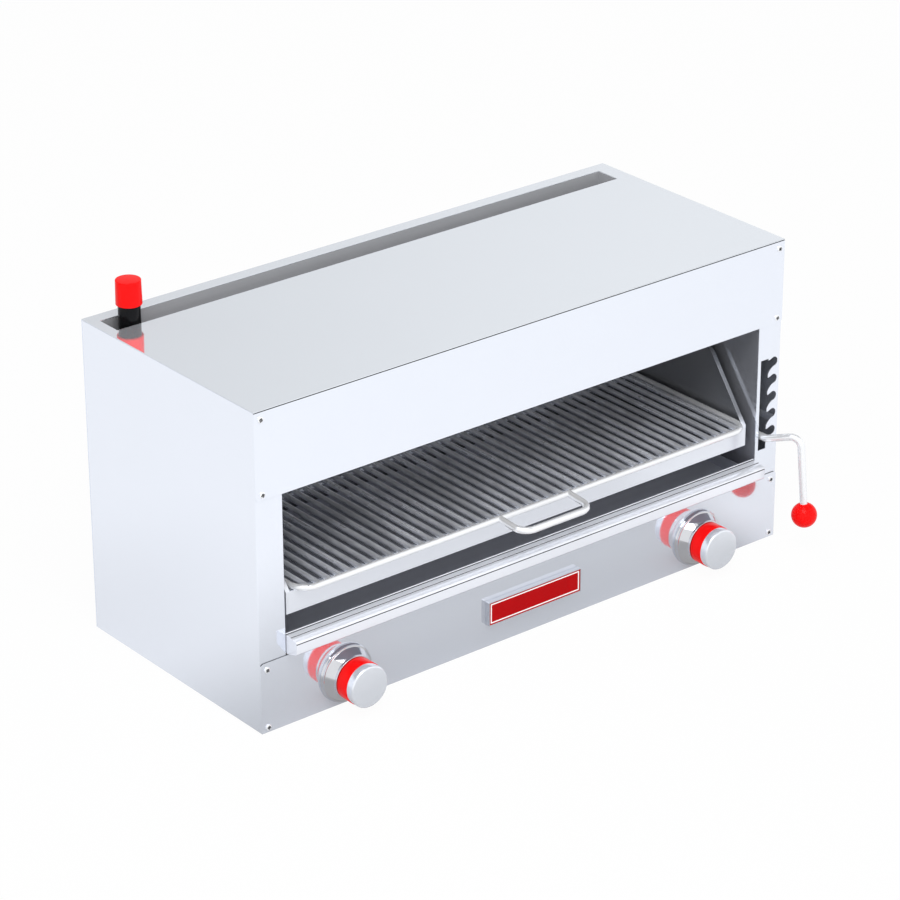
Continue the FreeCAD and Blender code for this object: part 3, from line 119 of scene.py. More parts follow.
class StudioSettings(bpy.types.PropertyGroup):
    azimuth: turn("Azimuth", "Camera's place around the melter", -38.985)
    elevation: turn("Elevation", "Camera's height above the horizon", 25.298)
    roll: turn("Roll", "Camera's turn about its own axis", -0.140)
    distance: metres("Distance", "From the aim to the camera", 4.60632)
    aim_x: metres("Aim across", "Where the camera aims, left to right", 0.011891)
    aim_z: metres("Aim height", "How high the camera aims", 0.183684)
    lens: bpy.props.FloatProperty(
        name="Lens", description="Focal length on a 36 mm sensor", default=142.906,
        min=1.0, subtype="DISTANCE_CAMERA",
    )
    floor_size: metres("Floor size", "Side of the square floor", 14.0)
    floor_colour: tint("Floor colour", "Painted floor", (0.86, 0.86, 0.87))
    # Painted shadow in the floor's glow, which metal reflects: how light it is in front and at both ends, and how
    # far out it fades
    floor_near: share("Floor before the melter", "How light the floor is in front", 0.40)
    floor_side: share("Floor beside the melter", "How light the floor is at both ends", 0.86)
    floor_fade: metres("Floor fade", "How far out the floor reaches its full lightness", 0.42)
    seen_share: share("Clean background", "How little floor shading the camera sees", 0.96)
    # The share of the floor that metal sees as its glow, with the painted shadow in it
    mirrored_share: share("Clean reflections", "How little floor shading metal shows", 0.85)
    key_power: bpy.props.FloatProperty(
        name="Key power", description="Power of the large softbox", default=34.0,
        min=0.0, unit="POWER",
    )
    key_size: metres("Key size", "Side of the large softbox", 1.8)
    wall_left: share("Left wall", "Lightness of the room's walls towards the left", 0.65)
    wall_right: share("Right wall", "Lightness of the room's walls towards the right", 0.85)
    wall_front: share("Front wall", "Lightness of the room before the melter", 1.0)
    ceiling: share("Ceiling", "Lightness of the room overhead", 0.20)


class SheetSettings(bpy.types.PropertyGroup):
    edge: length("Edge", "Rounding of a cut sheet edge", 0.35)
    fold: length("Fold", "Rounding of the top sheet's edge", 0.8)
    seam: length("Seam", "Gap between the fascia's upper edge and the top sheet", 0.9)
    outer_colour: tint("Outer steel", "Polished outer sheet", (0.875, 0.915, 1.0))
    top_colour: tint("Top steel", "Polished sheet of the top", (0.89, 0.935, 1.0))
    outer_roughness: share("Outer roughness", "Blur of the outer sheet's reflections", 0.08)
    outer_metallic: share("Outer polish", "How much of the outer sheet's light is mirrored", 0.78)
    inner_colour: tint("Inner steel", "Rolled sheet inside the chamber", (0.60, 0.62, 0.67))
    inner_roughness: share("Inner roughness", "Blur of the chamber's reflections", 0.12)
    duct_colour: tint("Flue steel", "Dull sheet of the flue", (0.60, 0.61, 0.64))
    carrier_colour: tint("Carrier steel", "Bright rolled sheet of the carrier", (0.88, 0.91, 0.98))
    carrier_roughness: share("Carrier roughness", "Blur of the carrier's reflections", 0.16)
    carrier_metallic: share("Carrier polish", "How much of the carrier's light is mirrored", 0.60)
    # Painted shade on the carrier's side plates behind the apron: how dark it gets
    carrier_smoke: share("Carrier smoke", "How dark heat has made the carrier's sides", 0.72)
    lip_colour: tint("Lip steel", "Polished sheet of the tray's lip", (0.91, 0.935, 1.0))
    tray_colour: tint("Tray steel", "Dull sheet inside the drip tray", (0.44, 0.46, 0.53))


class GrateSettings(bpy.types.PropertyGroup):
    rod_radius: length("Rod radius", "Lengthwise rods", 3.5)
    rod_pitch: length("Rod pitch", "From one rod to the next", 16.0)
    rod_end_gap: length("Rod end gap", "Least room between the last rod and the side bar", 2.0)
    bar_radius: length("Bar radius", "Bar round the edge", 4.0)
    corner: length("Corner", "Bend of the bar at the corners", 24.0)
    stop_radius: length("Stop bar radius", "Cross bar under the rods", 3.0)
    weld: length("Weld", "Height of a weld bead where a rod meets the bar", 0.7)
    handle_radius: length("Handle radius", "Bow handle", 4.5)
    handle_bend: length("Handle bend", "Bend of the bow's corners", 18.0)
    wire_colour: tint("Wire", "Bright drawn wire", (0.90, 0.93, 1.0))
    wire_roughness: share("Wire roughness", "Blur of the wire's reflections", 0.30)
    chrome_colour: tint("Plated bar", "Bright plated bar of handle and lever", (0.96, 0.975, 1.0))
    chrome_roughness: share("Plated roughness", "Blur of the plated bars' reflections", 0.14)


class LeverSettings(bpy.types.PropertyGroup):
    rod_radius: length("Rod radius", "Lever bar", 5.0)
    bend: length("Bend", "Bends of the lever bar", 13.0)
    tilt: turn("Tilt", "Lean of the pin, which follows the gate's fingers", 20.0)
    eye_radius: length("Eye radius", "Flattened end round the pin", 10.0)
    eye_thickness: length("Eye thickness", "Height of the eye along the pin", 10.0)
    pin_radius: length("Pin radius", "Bore of the eye", 3.58)
    pin_head: length("Pin head", "Radius of the pin's head with its running gap", 6.3)
    crank_reach: length("Crank reach", "From the front face to the crank", 7.0)
    corner_reach: length("Corner reach", "From the front face to the corner over the ball", 50.0)
    corner_offset: length("Corner offset", "Corner's step to the right of the pin", 20.5)
    corner_rise: length("Corner rise", "Corner's height above the pin", 12.4)
    eye_edge: length("Eye edge", "Rounding of the eye's edges", 0.6)
    collar_flat: length("Collar flat", "From the bar to where the ball's round ends", 1.6)
    collar_wall: length("Collar wall", "From the bar to the outer edge of the ball's collar", 1.2)
    collar_rise: length("Collar rise", "Height of the ball's collar", 0.2)
    socket: length("Socket", "How deep the bar stands in the ball", 3.0)


class KnobSettings(bpy.types.PropertyGroup):
    flange_radius: length("Flange radius", "Outer edge of the bezel", 39.0)
    flange_edge: length("Flange edge", "Height of the bezel's edge on the panel", 2.0)
    shoulder_depth: length("Shoulder depth", "From the panel to the bezel's step", 6.0)
    shoulder_radius: length("Shoulder radius", "Radius of the step's top", 37.5)
    cone_radius: length("Cone radius", "Radius where the cone starts", 35.6)
    collar_depth: length("Collar depth", "From the panel to the end of the cone", 17.5)
    collar_radius: length("Collar radius", "Round collar behind the knob", 29.5)
    bezel_wall: length("Bezel wall", "Thickness of the pressed bezel", 1.5)
    soft: length("Pressed edge", "Rounding of the bezel's edges", 0.7)
    shaft: length("Shaft", "Radius of the hole for the shaft", 6.0)
    grip_soft: length("Grip edge", "Rounding of the coloured ring", 0.8)
    ring_front: length("Ring front", "Thickness of the ring's closed front", 5.0)
    cap_edge: length("Cap edge", "Chamfer of the turned cap", 1.5)
    cap_soft: length("Cap softness", "Rounding at both sides of the chamfer", 0.525)
    red: tint("Red", "Moulded red plastic", (1.0, 0.006, 0.006))
    cap_colour: tint("Cap", "Turned aluminium", (0.90, 0.935, 1.0))


class TraySettings(bpy.types.PropertyGroup):
    bead: length("Bead", "Rolled edge behind the lip", 2.2)
    bead_soft: length("Bead softness", "Rounding of the bead's top", 0.9)
    groove: length("Groove", "Depth of the groove before the bead", 2.4)
    groove_width: length("Groove width", "From the bead to the lip's shelf", 1.2)
    shelf_drop: length("Shelf drop", "From the bead's top to the shelf", 1.2)
    shelf_soft: length("Shelf softness", "Rounding of the shelf's back edge", 0.4)
    ridge_place: length("Ridge place", "From the back of the bead to the ridge", 11.5)
    ridge: length("Ridge", "Height of the step across the shelf", 0.8)
    nose: length("Nose", "Rounding of the lip's upper front edge", 7.5)
    nose_face: length("Nose face", "From the nose's top down to the crease", 2.6)
    crease: length("Crease", "Depth of the crease under the nose", 1.0)
    foot: length("Foot", "Rounding of the lip's lower front edge", 2.0)
    foot_rise: length("Foot rise", "Height of the lip's lower front edge", 6.0)
    nose_drop: length("Nose drop", "Fall of the lip's top from back to front", 3.5)
    end_edge: length("End edge", "Rounding of the closed ends", 0.5)


class PlateSettings(bpy.types.PropertyGroup):
    rim: length("Rim", "Width of the raised rim", 1.2)
    rim_edge: length("Rim edge", "Rounding of the rim", 0.5)
    line_inset: length("Line inset", "From the rim to the painted line", 1.7)
    line_width: length("Line width", "Width of the painted line", 1.7)
    enamel: tint("Enamel", "Fired red face", (0.50, 0.0, 0.002))
    line: tint("Line", "Painted line", (1.0, 0.98, 0.98))


class ScrewSettings(bpy.types.PropertyGroup):
    head_radius: length("Head radius", "Pan head", 3.9)
    head_height: length("Head height", "Crown over the sheet", 2.0)
    slot_length: length("Slot length", "Reach of the cross recess", 4.4)
    slot_width: length("Slot width", "Width of one arm of the recess", 1.2)
    slot_depth: length("Slot depth", "Depth of the recess", 1.6)
    inset: length("Inset", "From the side edge to a screw", 9.5)
    fascia_drop: length("Fascia drop", "From the top to the upper screws", 11.5)
    fascia_rise: length("Fascia rise", "From the fascia's lower edge to its screws", 7.5)
    panel_drop: length("Panel drop", "From the control panel's top to its screws", 9.8)
    panel_rise: length("Panel rise", "From the base to the lowest screws", 6.8)
    back_inset: length("Back inset", "From the ends of the back to its screws", 24.0)


class InletSettings(bpy.types.PropertyGroup):
    wall: length("Pipe wall", "Thickness of the iron pipe", 2.6)
    bend: length("Pipe bend", "Bend at the foot of the pipe", 32.0)
    pipe_edge: length("Pipe edge", "Rounding of the pipe's ends", 0.5)
    pipe_radius: length("Pipe radius", "Outside of the pipe", 14.2)
    cap_wall: length("Cap wall", "Thickness of the push-on cap", 2.3)
    cap_taper: length("Cap taper", "How much the cap narrows to its top", 0.6)
    cap_edge: length("Cap edge", "Rounding of the cap's edges", 1.2)
    iron: tint("Iron", "Black oxide on the pipe", (0.004, 0.004, 0.005))


GROUPS = {
    "melter_studio": StudioSettings,
    "melter_sheets": SheetSettings,
    "melter_grate": GrateSettings,
    "melter_lever": LeverSettings,
    "melter_knobs": KnobSettings,
    "melter_tray": TraySettings,
    "melter_plate": PlateSettings,
    "melter_screws": ScrewSettings,
    "melter_inlet": InletSettings,
}


# Shader sums

class Socket:
    """Output of a shader node that can be added, subtracted and multiplied."""

    def __init__(self, nodes, output):
        self.nodes = nodes
        self.output = output

    def sibling(self, name):
        return Socket(self.nodes, self.output.node.outputs[name])

    def __add__(self, other):
        return self.nodes.sum("ADD", self, other)

    def __radd__(self, other):
        return self.nodes.sum("ADD", other, self)

    def __sub__(self, other):
        return self.nodes.sum("SUBTRACT", self, other)

    def __rsub__(self, other):
        return self.nodes.sum("SUBTRACT", other, self)

    def __mul__(self, other):
        return self.nodes.sum("MULTIPLY", self, other)

    def __rmul__(self, other):
        return self.nodes.sum("MULTIPLY", other, self)


class Nodes:
    """Node tree of a material or of the world."""

    def __init__(self, owner):
        owner.use_nodes = True
        self.tree = owner.node_tree
        self.tree.nodes.clear()

    def add(self, kind, settings=None, sockets=None, output=0):
        """A node of any type: its settings first, then the values or links of its sockets."""
        node = self.tree.nodes.new(kind)
        for name, value in (settings or {}).items():
            setattr(node, name, value)
        for name, value in (sockets or {}).items():
            if isinstance(value, Socket):
                self.tree.links.new(value.output, node.inputs[name])
            else:
                node.inputs[name].default_value = value
        return Socket(self, node.outputs[output]) if len(node.outputs) else None

    def sum(self, operation, first, second=0.0):
        return self.add("ShaderNodeMath", {"operation": operation}, {0: first, 1: second})

    def largest(self, first, second):
        return self.sum("MAXIMUM", first, second)

    def absolute(self, value):
        return self.sum("ABSOLUTE", value)

    def diagonal(self, first, second):
        """Distance that two distances at right angles make."""
        return self.sum("SQRT", first * first + second * second)

    def blend(self, factor, first, second):
        """First colour where the factor is 0, second where it is 1."""
        sockets = {0: factor, 6: tuple_of(first), 7: tuple_of(second)}
        return self.add("ShaderNodeMix", {"data_type": "RGBA"}, sockets, output=2)

    def worn(self, factor, colour, share):
        """Colour that falls to a share of itself where the factor is 1."""
        return self.blend(factor, colour, darker(colour, share))

    def white(self, level):
        return self.blend(level, (0.0, 0.0, 0.0, 1.0), (1.0, 1.0, 1.0, 1.0))

    def spread(self, value, low, high, start=0.0, end=1.0):
        """Value from low to high, eased to start to end."""
        limits = {"From Min": low, "From Max": high, "To Min": start, "To Max": end}
        settings = {"interpolation_type": "SMOOTHSTEP"}
        return self.add("ShaderNodeMapRange", settings, {"Value": value, **limits})

    def along(self, axis, place="Object"):
        """Place on the piece along an axis, or direction in the room."""
        spot = self.add("ShaderNodeTexCoord", output=place)
        return self.add("ShaderNodeSeparateXYZ", {}, {"Vector": spot}, output=axis)

    def stretched(self, factors):
        """Place on the piece, stretched by a factor along each axis."""
        spot = self.add("ShaderNodeTexCoord", output="Object")
        sockets = {"Vector": spot, "Scale": factors}
        return self.add("ShaderNodeMapping", {"vector_type": "POINT"}, sockets)

    def noise(self, grains, detail=2.0, roughness=0.5):
        """Noise from 0 to 1, with so many grains to a metre, if need be along each axis."""
        place = self.stretched(grains if isinstance(grains, tuple) else (grains, grains, grains))
        sockets = {"Vector": place, "Scale": 1.0, "Detail": detail, "Roughness": roughness}
        return self.add("ShaderNodeTexNoise", {"noise_dimensions": "3D"}, sockets, output="Fac")

    def surface(self, colour, blur, relief, strength, depth, **constants):
        """Shader of a surface: what varies first, then how deep its relief is in millimetres."""
        bump = {"Height": relief, "Strength": strength, "Distance": depth * MM}
        normal = self.add("ShaderNodeBump", {}, bump, output="Normal")
        sockets = {"Base Color": colour, "Roughness": blur, "Normal": normal}
        sockets.update((name.replace("_", " "), value) for name, value in constants.items())
        return self.add("ShaderNodeBsdfPrincipled", {}, sockets)

    def finish(self, shader, kind="ShaderNodeOutputMaterial"):
        self.add(kind, {}, {"Surface": shader})


def tuple_of(colour):
    return colour if isinstance(colour, Socket) else tuple(colour)


def darker(colour, share):
    return (colour[0] * share, colour[1] * share, colour[2] * share, 1.0)


def swinging(middle, *noises):
    """Value that each noise swings about the middle, by its own reach."""
    for noise, reach in noises:
        middle = middle + (noise - 0.5) * reach
    return middle


# Finishes: each adds its nodes and returns its shader

EDGE_SHADE = (0.03, 0.03, 0.035, 1.0)
HEAT_TINT = (0.40, 0.38, 0.46, 1.0)
CHROME, CHROME_HAZE = (0.74, 0.75, 0.78, 1.0), (0.66, 0.67, 0.71, 1.0)
BURNER_STEEL, BURNER_BROWN = (0.40, 0.39, 0.40, 1.0), (0.20, 0.165, 0.14, 1.0)
CERAMIC, CERAMIC_SHADE = (0.80, 0.74, 0.64, 1.0), (0.66, 0.58, 0.48, 1.0)
# Painted shade inside the burner tile's holes
PAINTED_HOLE_SHADE = (0.05, 0.04, 0.035, 1.0)
RUBBED_IRON = (0.02, 0.02, 0.02, 1.0)
BRASS, DULL_BRASS = (0.80, 0.62, 0.30, 1.0), (0.52, 0.38, 0.18, 1.0)
ALUMINIUM, DULL_ALUMINIUM = (0.80, 0.81, 0.82, 1.0), (0.62, 0.63, 0.66, 1.0)
RED_SPECULAR = 0.1
IRON_SPECULAR = 0.15
LATHE_PITCH = 0.6 * MM
# Painted shade on the carrier: how far behind the apron's front it starts and where it is full
PAINTED_SHADE_START, PAINTED_SHADE_END = 1 * MM, 12 * MM
# Where the painted shade on the wire starts and where it is full, front to back
WIRE_PAINTED_SHADE_START, WIRE_PAINTED_SHADE_END = -0.12, 0.12


def rolled_steel(nodes, colour, metallic, roughness, grains, wear):
    """Stainless sheet: fine rolling lines, faint smudges and a slow change of blur."""
    lines = nodes.noise(grains, detail=3.0, roughness=0.6)
    smudge = nodes.noise(9.0, detail=4.0, roughness=0.55)
    fine = nodes.noise(60.0, detail=3.0)
    base = nodes.worn(smudge * wear + lines * (wear * 0.5), colour, share=0.86)
    blur = swinging(
        roughness, (lines, roughness * 0.6), (smudge, roughness * 0.5), (fine, roughness * 0.3),
    )
    relief = lines * 0.7 + fine * 0.3
    strength = 0.05 + wear * 0.10
    return nodes.surface(base, blur, relief, strength, depth=0.02, Metallic=metallic)


def outer_sheet(nodes):
    sizes = bpy.context.scene.melter_sheets
    colour, polish, blur = sizes.outer_colour, sizes.outer_metallic, sizes.outer_roughness
    return rolled_steel(nodes, colour, polish, blur, grains=(3.0, 3.0, 900.0), wear=0.10)


def top_sheet(nodes):
    sizes = bpy.context.scene.melter_sheets
    colour, polish, blur = sizes.top_colour, sizes.outer_metallic, sizes.outer_roughness
    return rolled_steel(nodes, colour, polish, blur, grains=(3.0, 900.0, 3.0), wear=0.12)


def lip_sheet(nodes):
    colour = bpy.context.scene.melter_sheets.lip_colour
    return rolled_steel(
        nodes, colour, metallic=0.32, roughness=0.04, grains=(3.0, 3.0, 700.0), wear=0.06,
    )


def chamber_sheet(nodes):
    """Chamber walls: rolled sheet, dulled and faintly tinted by heat."""
    sizes = bpy.context.scene.melter_sheets
    lines = nodes.noise((6.0, 6.0, 500.0), detail=3.0, roughness=0.6)
    cloud = nodes.noise(7.0, detail=5.0, roughness=0.6)
    heat = nodes.spread(nodes.noise(3.0), 0.45, 0.75)
    tinted = nodes.blend(heat * 0.5, sizes.inner_colour, HEAT_TINT)
    base = nodes.blend(cloud * 0.5, tinted, darker(sizes.inner_colour, 0.62))
    blur = swinging(sizes.inner_roughness, (lines, 0.10), (cloud, 0.16))
    return nodes.surface(base, blur, lines, strength=0.15, depth=0.03, Metallic=0.72)


def carrier_sheet(nodes):
    """Carrier sheet: bright apron, and painted shade that darkens the side plates behind it."""
    sizes = bpy.context.scene.melter_sheets
    lines = nodes.noise((5.0, 5.0, 700.0), detail=3.0, roughness=0.6)
    smudge = nodes.noise(9.0, detail=4.0, roughness=0.55)
    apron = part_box("rack_carrier")[0].y
    deep = nodes.along("Y")
    # Painted shade: the side plates darken from just behind the apron's front
    painted_shade = nodes.spread(deep, apron + PAINTED_SHADE_START, apron + PAINTED_SHADE_END, 0.0, sizes.carrier_smoke)
    bright = nodes.worn(smudge * 0.15 + lines * 0.08, sizes.carrier_colour, share=0.86)
    base = nodes.blend(painted_shade, bright, darker(sizes.carrier_colour, 0.12))
    blur = swinging(sizes.carrier_roughness, (lines, 0.10), (smudge, 0.08))
    metallic = sizes.carrier_metallic
    return nodes.surface(base, blur, lines, strength=0.06, depth=0.02, Metallic=metallic)


def dull_sheet(nodes, colour, metallic, roughness):
    """Unpolished sheet: soft streaks along the roll and cloudy wear."""
    streaks = nodes.noise((2.5, 40.0, 120.0), detail=3.0, roughness=0.6)
    cloud = nodes.noise(8.0, detail=4.0)
    base = nodes.worn(streaks * 0.6 + cloud * 0.4, colour, share=0.70)
    blur = swinging(roughness, (cloud, 0.2))
    return nodes.surface(base, blur, streaks, strength=0.12, depth=0.04, Metallic=metallic)


def painted_shade_sheet(nodes):
    """Painted shade: dark sheet on the edge of a sheet in a seam, also on the floor of a groove or a recess."""
    return dull_sheet(nodes, EDGE_SHADE, metallic=0.2, roughness=0.6)


def flue_sheet(nodes):
    colour = bpy.context.scene.melter_sheets.duct_colour
    return dull_sheet(nodes, colour, metallic=0.25, roughness=0.45)


def tray_sheet(nodes):
    colour = bpy.context.scene.melter_sheets.tray_colour
    return dull_sheet(nodes, colour, metallic=0.30, roughness=0.40)


def drawn_wire(nodes):
    """Bright wire with draw lines, rubbed dull in patches, and painted shade that darkens it towards the back."""
    sizes = bpy.context.scene.melter_grate
    lines = nodes.noise((500.0, 12.0, 500.0))
    patch = nodes.noise((22.0, 9.0, 22.0), detail=4.0, roughness=0.62)
    # Painted shade darkens the rods towards the back of the chamber; dull joins it with the real rubbed patches
    heat = nodes.spread(nodes.along("Y"), WIRE_PAINTED_SHADE_START, WIRE_PAINTED_SHADE_END) * 0.30
    dull = nodes.largest(heat, nodes.spread(patch, 0.38, 0.62) * 0.8)
    base = nodes.worn(dull, sizes.wire_colour, share=0.60)
    blur = swinging(sizes.wire_roughness, (patch, 0.30), (lines, 0.08))
    relief = lines * 0.6 + patch * 0.4
    return nodes.surface(base, blur, relief, strength=0.12, depth=0.05, Metallic=0.50)


def plated_bar(nodes):
    """Plated bar of handle and lever, with faint handling marks."""
    sizes = bpy.context.scene.melter_grate
    marks = nodes.noise(35.0, detail=4.0, roughness=0.6)
    base = nodes.worn(marks * 0.5, sizes.chrome_colour, share=0.88)
    blur = swinging(sizes.chrome_roughness, (marks, 0.08))
    return nodes.surface(base, blur, marks, strength=0.05, depth=0.03, Metallic=0.45)


def chrome_trim(nodes):
    """Plated pressing: near mirror, with faint haze."""
    haze = nodes.noise(90.0, detail=3.0)
    base = nodes.blend(haze, CHROME, CHROME_HAZE)
    blur = 0.02 + haze * 0.03
    return nodes.surface(base, blur, haze, strength=0.04, depth=0.02, Metallic=1.0)


def turned_cap(nodes):
    """Satin aluminium with a lathe's fine circles about each knob's own axis."""
    knobs = bpy.context.scene.melter_knobs
    left, right = knob_centre("left"), knob_centre("right")
    across = nodes.along("X")
    beside = nodes.sum("MINIMUM", nodes.absolute(across - left.x), nodes.absolute(across - right.x))
    radius = nodes.diagonal(beside, across.sibling("Z") - left.z)
    circles = nodes.sum("SINE", radius * (2.0 * math.pi / LATHE_PITCH))
    haze = nodes.noise(70.0, detail=3.0)
    base = nodes.worn(haze, knobs.cap_colour, share=0.93)
    blur = swinging(0.22 + circles * 0.02, (haze, 0.06))
    return nodes.surface(base, blur, circles, strength=0.03, depth=0.01, Metallic=0.64)


def moulded_red(nodes):
    """Gloss red plastic with the faint ripple of a moulding."""
    ripple = nodes.noise(120.0)
    cloud = nodes.noise(30.0, detail=3.0)
    base = nodes.worn(cloud * 0.5, bpy.context.scene.melter_knobs.red, share=0.90)
    blur = 0.12 + cloud * 0.08
    return nodes.surface(
        base, blur, ripple, strength=0.05, depth=0.05, Specular_IOR_Level=RED_SPECULAR,
    )


def fired_enamel(nodes):
    """Red enamel face with one plain painted line inside its edge."""
    plate = bpy.context.scene.melter_plate
    low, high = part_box("badge_inlay")
    middle, half = (low + high) / 2, (high - low) / 2
    across = nodes.along("X")
    from_side = half.x - nodes.absolute(across - middle.x)
    from_top = half.z - nodes.absolute(across.sibling("Z") - middle.z)
    inset = nodes.sum("MINIMUM", from_side, from_top)
    start = nodes.sum("GREATER_THAN", inset, plate.line_inset)
    line = start * nodes.sum("LESS_THAN", inset, plate.line_inset + plate.line_width)
    cloud = nodes.noise(45.0, detail=3.0)
    red = nodes.worn(cloud * 0.5, plate.enamel, share=0.75)
    base = nodes.blend(line, red, plate.line)
    blur, relief = 0.20 + cloud * 0.08, cloud - line * 0.6
    return nodes.surface(
        base, blur, relief, strength=0.08, depth=0.05, Specular_IOR_Level=RED_SPECULAR,
    )


def heated_steel(nodes):
    """Aluminised burner steel, browned by heat."""
    cloud = nodes.noise(18.0, detail=5.0, roughness=0.62)
    speck = nodes.noise(400.0)
    base = nodes.blend(nodes.spread(cloud, 0.35, 0.70), BURNER_STEEL, BURNER_BROWN)
    relief = speck * 0.5 + cloud * 0.5
    blur = 0.42 + cloud * 0.22
    return nodes.surface(base, blur, relief, strength=0.2, depth=0.1, Metallic=0.8)


def pierced_ceramic(nodes):
    """Pale burner tile with its rows of small holes, each a dark spot of painted shade."""
    settings = {"voronoi_dimensions": "3D"}
    sockets = {"Vector": nodes.stretched((330.0, 330.0, 1.0)), "Scale": 1.0, "Randomness": 0.12}
    cell = nodes.add("ShaderNodeTexVoronoi", settings, sockets, output="Distance")
    # Painted shade: the holes are drawn as dark spots
    hole = nodes.spread(cell, 0.22, 0.34, 1.0, 0.0)
    cloud = nodes.noise(25.0, detail=4.0)
    base = nodes.blend(hole, nodes.blend(cloud, CERAMIC, CERAMIC_SHADE), PAINTED_HOLE_SHADE)
    blur = 0.80 + cloud * 0.12
    return nodes.surface(base, blur, 1.0 - hole, strength=0.6, depth=0.4)


def oxide_iron(nodes):
    """Black oxide pipe: a little gloss over a fine cast skin."""
    skin = nodes.noise(260.0, detail=4.0, roughness=0.6)
    rub = nodes.noise(22.0, detail=4.0)
    iron = bpy.context.scene.melter_inlet.iron
    base = nodes.blend(nodes.spread(rub, 0.5, 0.8), iron, RUBBED_IRON)
    blur = 0.10 + rub * 0.12
    return nodes.surface(
        base, blur, skin, strength=0.08, depth=0.05, Specular_IOR_Level=IRON_SPECULAR,
    )


def machined(nodes, bright, dull, roughness):
    """Turned or drawn soft metal with tool marks and a dull film."""
    marks = nodes.noise((60.0, 900.0, 60.0))
    film = nodes.noise(40.0, detail=4.0)
    base = nodes.blend(nodes.spread(film, 0.3, 0.8), bright, dull)
    blur = swinging(roughness, (film, 0.2), (marks, 0.08))
    return nodes.surface(base, blur, marks, strength=0.15, depth=0.04, Metallic=1.0)


def machined_brass(nodes):
    return machined(nodes, BRASS, DULL_BRASS, roughness=0.28)


def drawn_aluminium(nodes):
    return machined(nodes, ALUMINIUM, DULL_ALUMINIUM, roughness=0.30)


FINISHES = {
    "polished_steel": outer_sheet,
    "top_steel": top_sheet,
    "chamber_steel": chamber_sheet,
    "carrier_steel": carrier_sheet,
    "lip_steel": lip_sheet,
    "painted_shade_sheet": painted_shade_sheet,
    "flue_steel": flue_sheet,
    "tray_steel": tray_sheet,
    "bright_wire": drawn_wire,
    "plated_bar": plated_bar,
    "chromed_trim": chrome_trim,
    "satin_cap": turned_cap,
    "red_plastic": moulded_red,
    "red_enamel": fired_enamel,
    "burner_steel": heated_steel,
    "ceramic_tile": pierced_ceramic,
    "black_iron": oxide_iron,
    "brass": machined_brass,
    "aluminium_tube": drawn_aluminium,
}

# Nodes and pieces that don't have the finish of their slot's name
OWN_FINISHES = {
    "flue_duct": "flue_steel",
    "drip_tray": "tray_steel",
    "top_panel_sheet": "top_steel",
    "drip_tray_sheet": "tray_steel",
    # Painted highlight: the grate's edge bar, the same wire as the rods, takes the lighter plated finish
    "grate_edge_bar": "plated_bar",
    "bow_handle": "plated_bar",
    "lever_bar": "plated_bar",
    "rolled_lip": "lip_steel",
    "cross_head_screws": "plated_bar",
}


def finish_of(slot):
    """Material of a finish, made the first time that it is asked for."""
    name = "melter_" + slot
    material = bpy.data.materials.get(name)
    if material is None:
        material = bpy.data.materials.new(name)
        nodes = Nodes(material)
        nodes.finish(FINISHES[slot](nodes))
    return material


# Shapes

def turns(sides):
    return [2 * math.pi * number / sides for number in range(sides)]


def circle(shape, middle, radius, across, up, sides):
    """Corners of a round section."""
    return [
        shape.verts.new(middle + radius * (math.cos(angle) * across + math.sin(angle) * up))
        for angle in turns(sides)
    ]


def curve(first, corner, last, steps):
    """Points that bend from first to last, drawn towards the corner."""
    places = (step / steps for step in range(steps + 1))
    return [first * (1 - t) ** 2 + corner * 2 * t * (1 - t) + last * t ** 2 for t in places]


def bend_at(before, corner, after, bend, steps):
    """Points of the arc that touches both runs at a corner."""
    back = (before - corner).normalized()
    on = (after - corner).normalized()
    half = back.angle(on) / 2
    centre = corner + (back + on).normalized() * (bend / math.sin(half))
    first = corner + back * (bend / math.tan(half)) - centre
    last = corner + on * (bend / math.tan(half)) - centre
    axis = first.cross(last)
    angles = [first.angle(last) * step / steps for step in range(steps + 1)]
    return [centre + Matrix.Rotation(angle, 3, axis) @ first for angle in angles]


def route(points, bend, steps=ARC_STEPS):
    """Points along straight runs that are joined by tangent arcs."""
    path = [points[0]]
    for before, corner, after in zip(points, points[1:], points[2:]):
        path += bend_at(before, corner, after, bend, steps)
    return path + [points[-1]]


def ring_route(points, bend, steps=ARC_STEPS):
    """Closed route with every corner rounded."""
    path = []
    for number, corner in enumerate(points):
        path += bend_at(points[number - 1], corner, points[(number + 1) % len(points)], bend, steps)
    return path


def tube(shape, path, radius, sides=24, closed=False):
    """Round bar along a path."""
    rings = []
    across = None
    for number, spot in enumerate(path):
        behind = path[number - 1] if closed or number else spot
        ahead = path[(number + 1) % len(path)] if closed or number + 1 < len(path) else spot
        along = (ahead - behind).normalized()
        across = along.orthogonal() if across is None else across - along * across.dot(along)
        across.normalize()
        rings.append(circle(shape, spot, radius, across, along.cross(across), sides))
    join_rings(shape, rings, closed)
    if not closed:
        shape.faces.new(rings[0])
        shape.faces.new(rings[-1])
    return shape


def join_rings(shape, rings, closed=False):
    """Faces between rings of points, where a ring may be a single point."""
    pairs = list(zip(rings, rings[1:]))
    if closed:
        pairs.append((rings[-1], rings[0]))
    for near, far in pairs:
        count = max(len(near), len(far))
        for number in range(count):
            after = (number + 1) % count
            corners = [near[number % len(near)], near[after % len(near)]]
            corners += [far[after % len(far)], far[number % len(far)]]
            kept = list(dict.fromkeys(corners))
            if len(kept) > 2:
                shape.faces.new(kept)


def lathe(shape, profile, origin, axis, sides=96, closed=False):
    """Turned body from pairs of reach along the axis and radius."""
    axis = Vector(axis).normalized()
    across = axis.orthogonal().normalized()
    rings = []
    for reach, radius in profile:
        spot = origin + axis * reach
        if radius < WELD_DISTANCE:
            rings.append([shape.verts.new(spot)])
        else:
            rings.append(circle(shape, spot, radius, across, axis.cross(across), sides))
    join_rings(shape, rings, closed)
    return shape


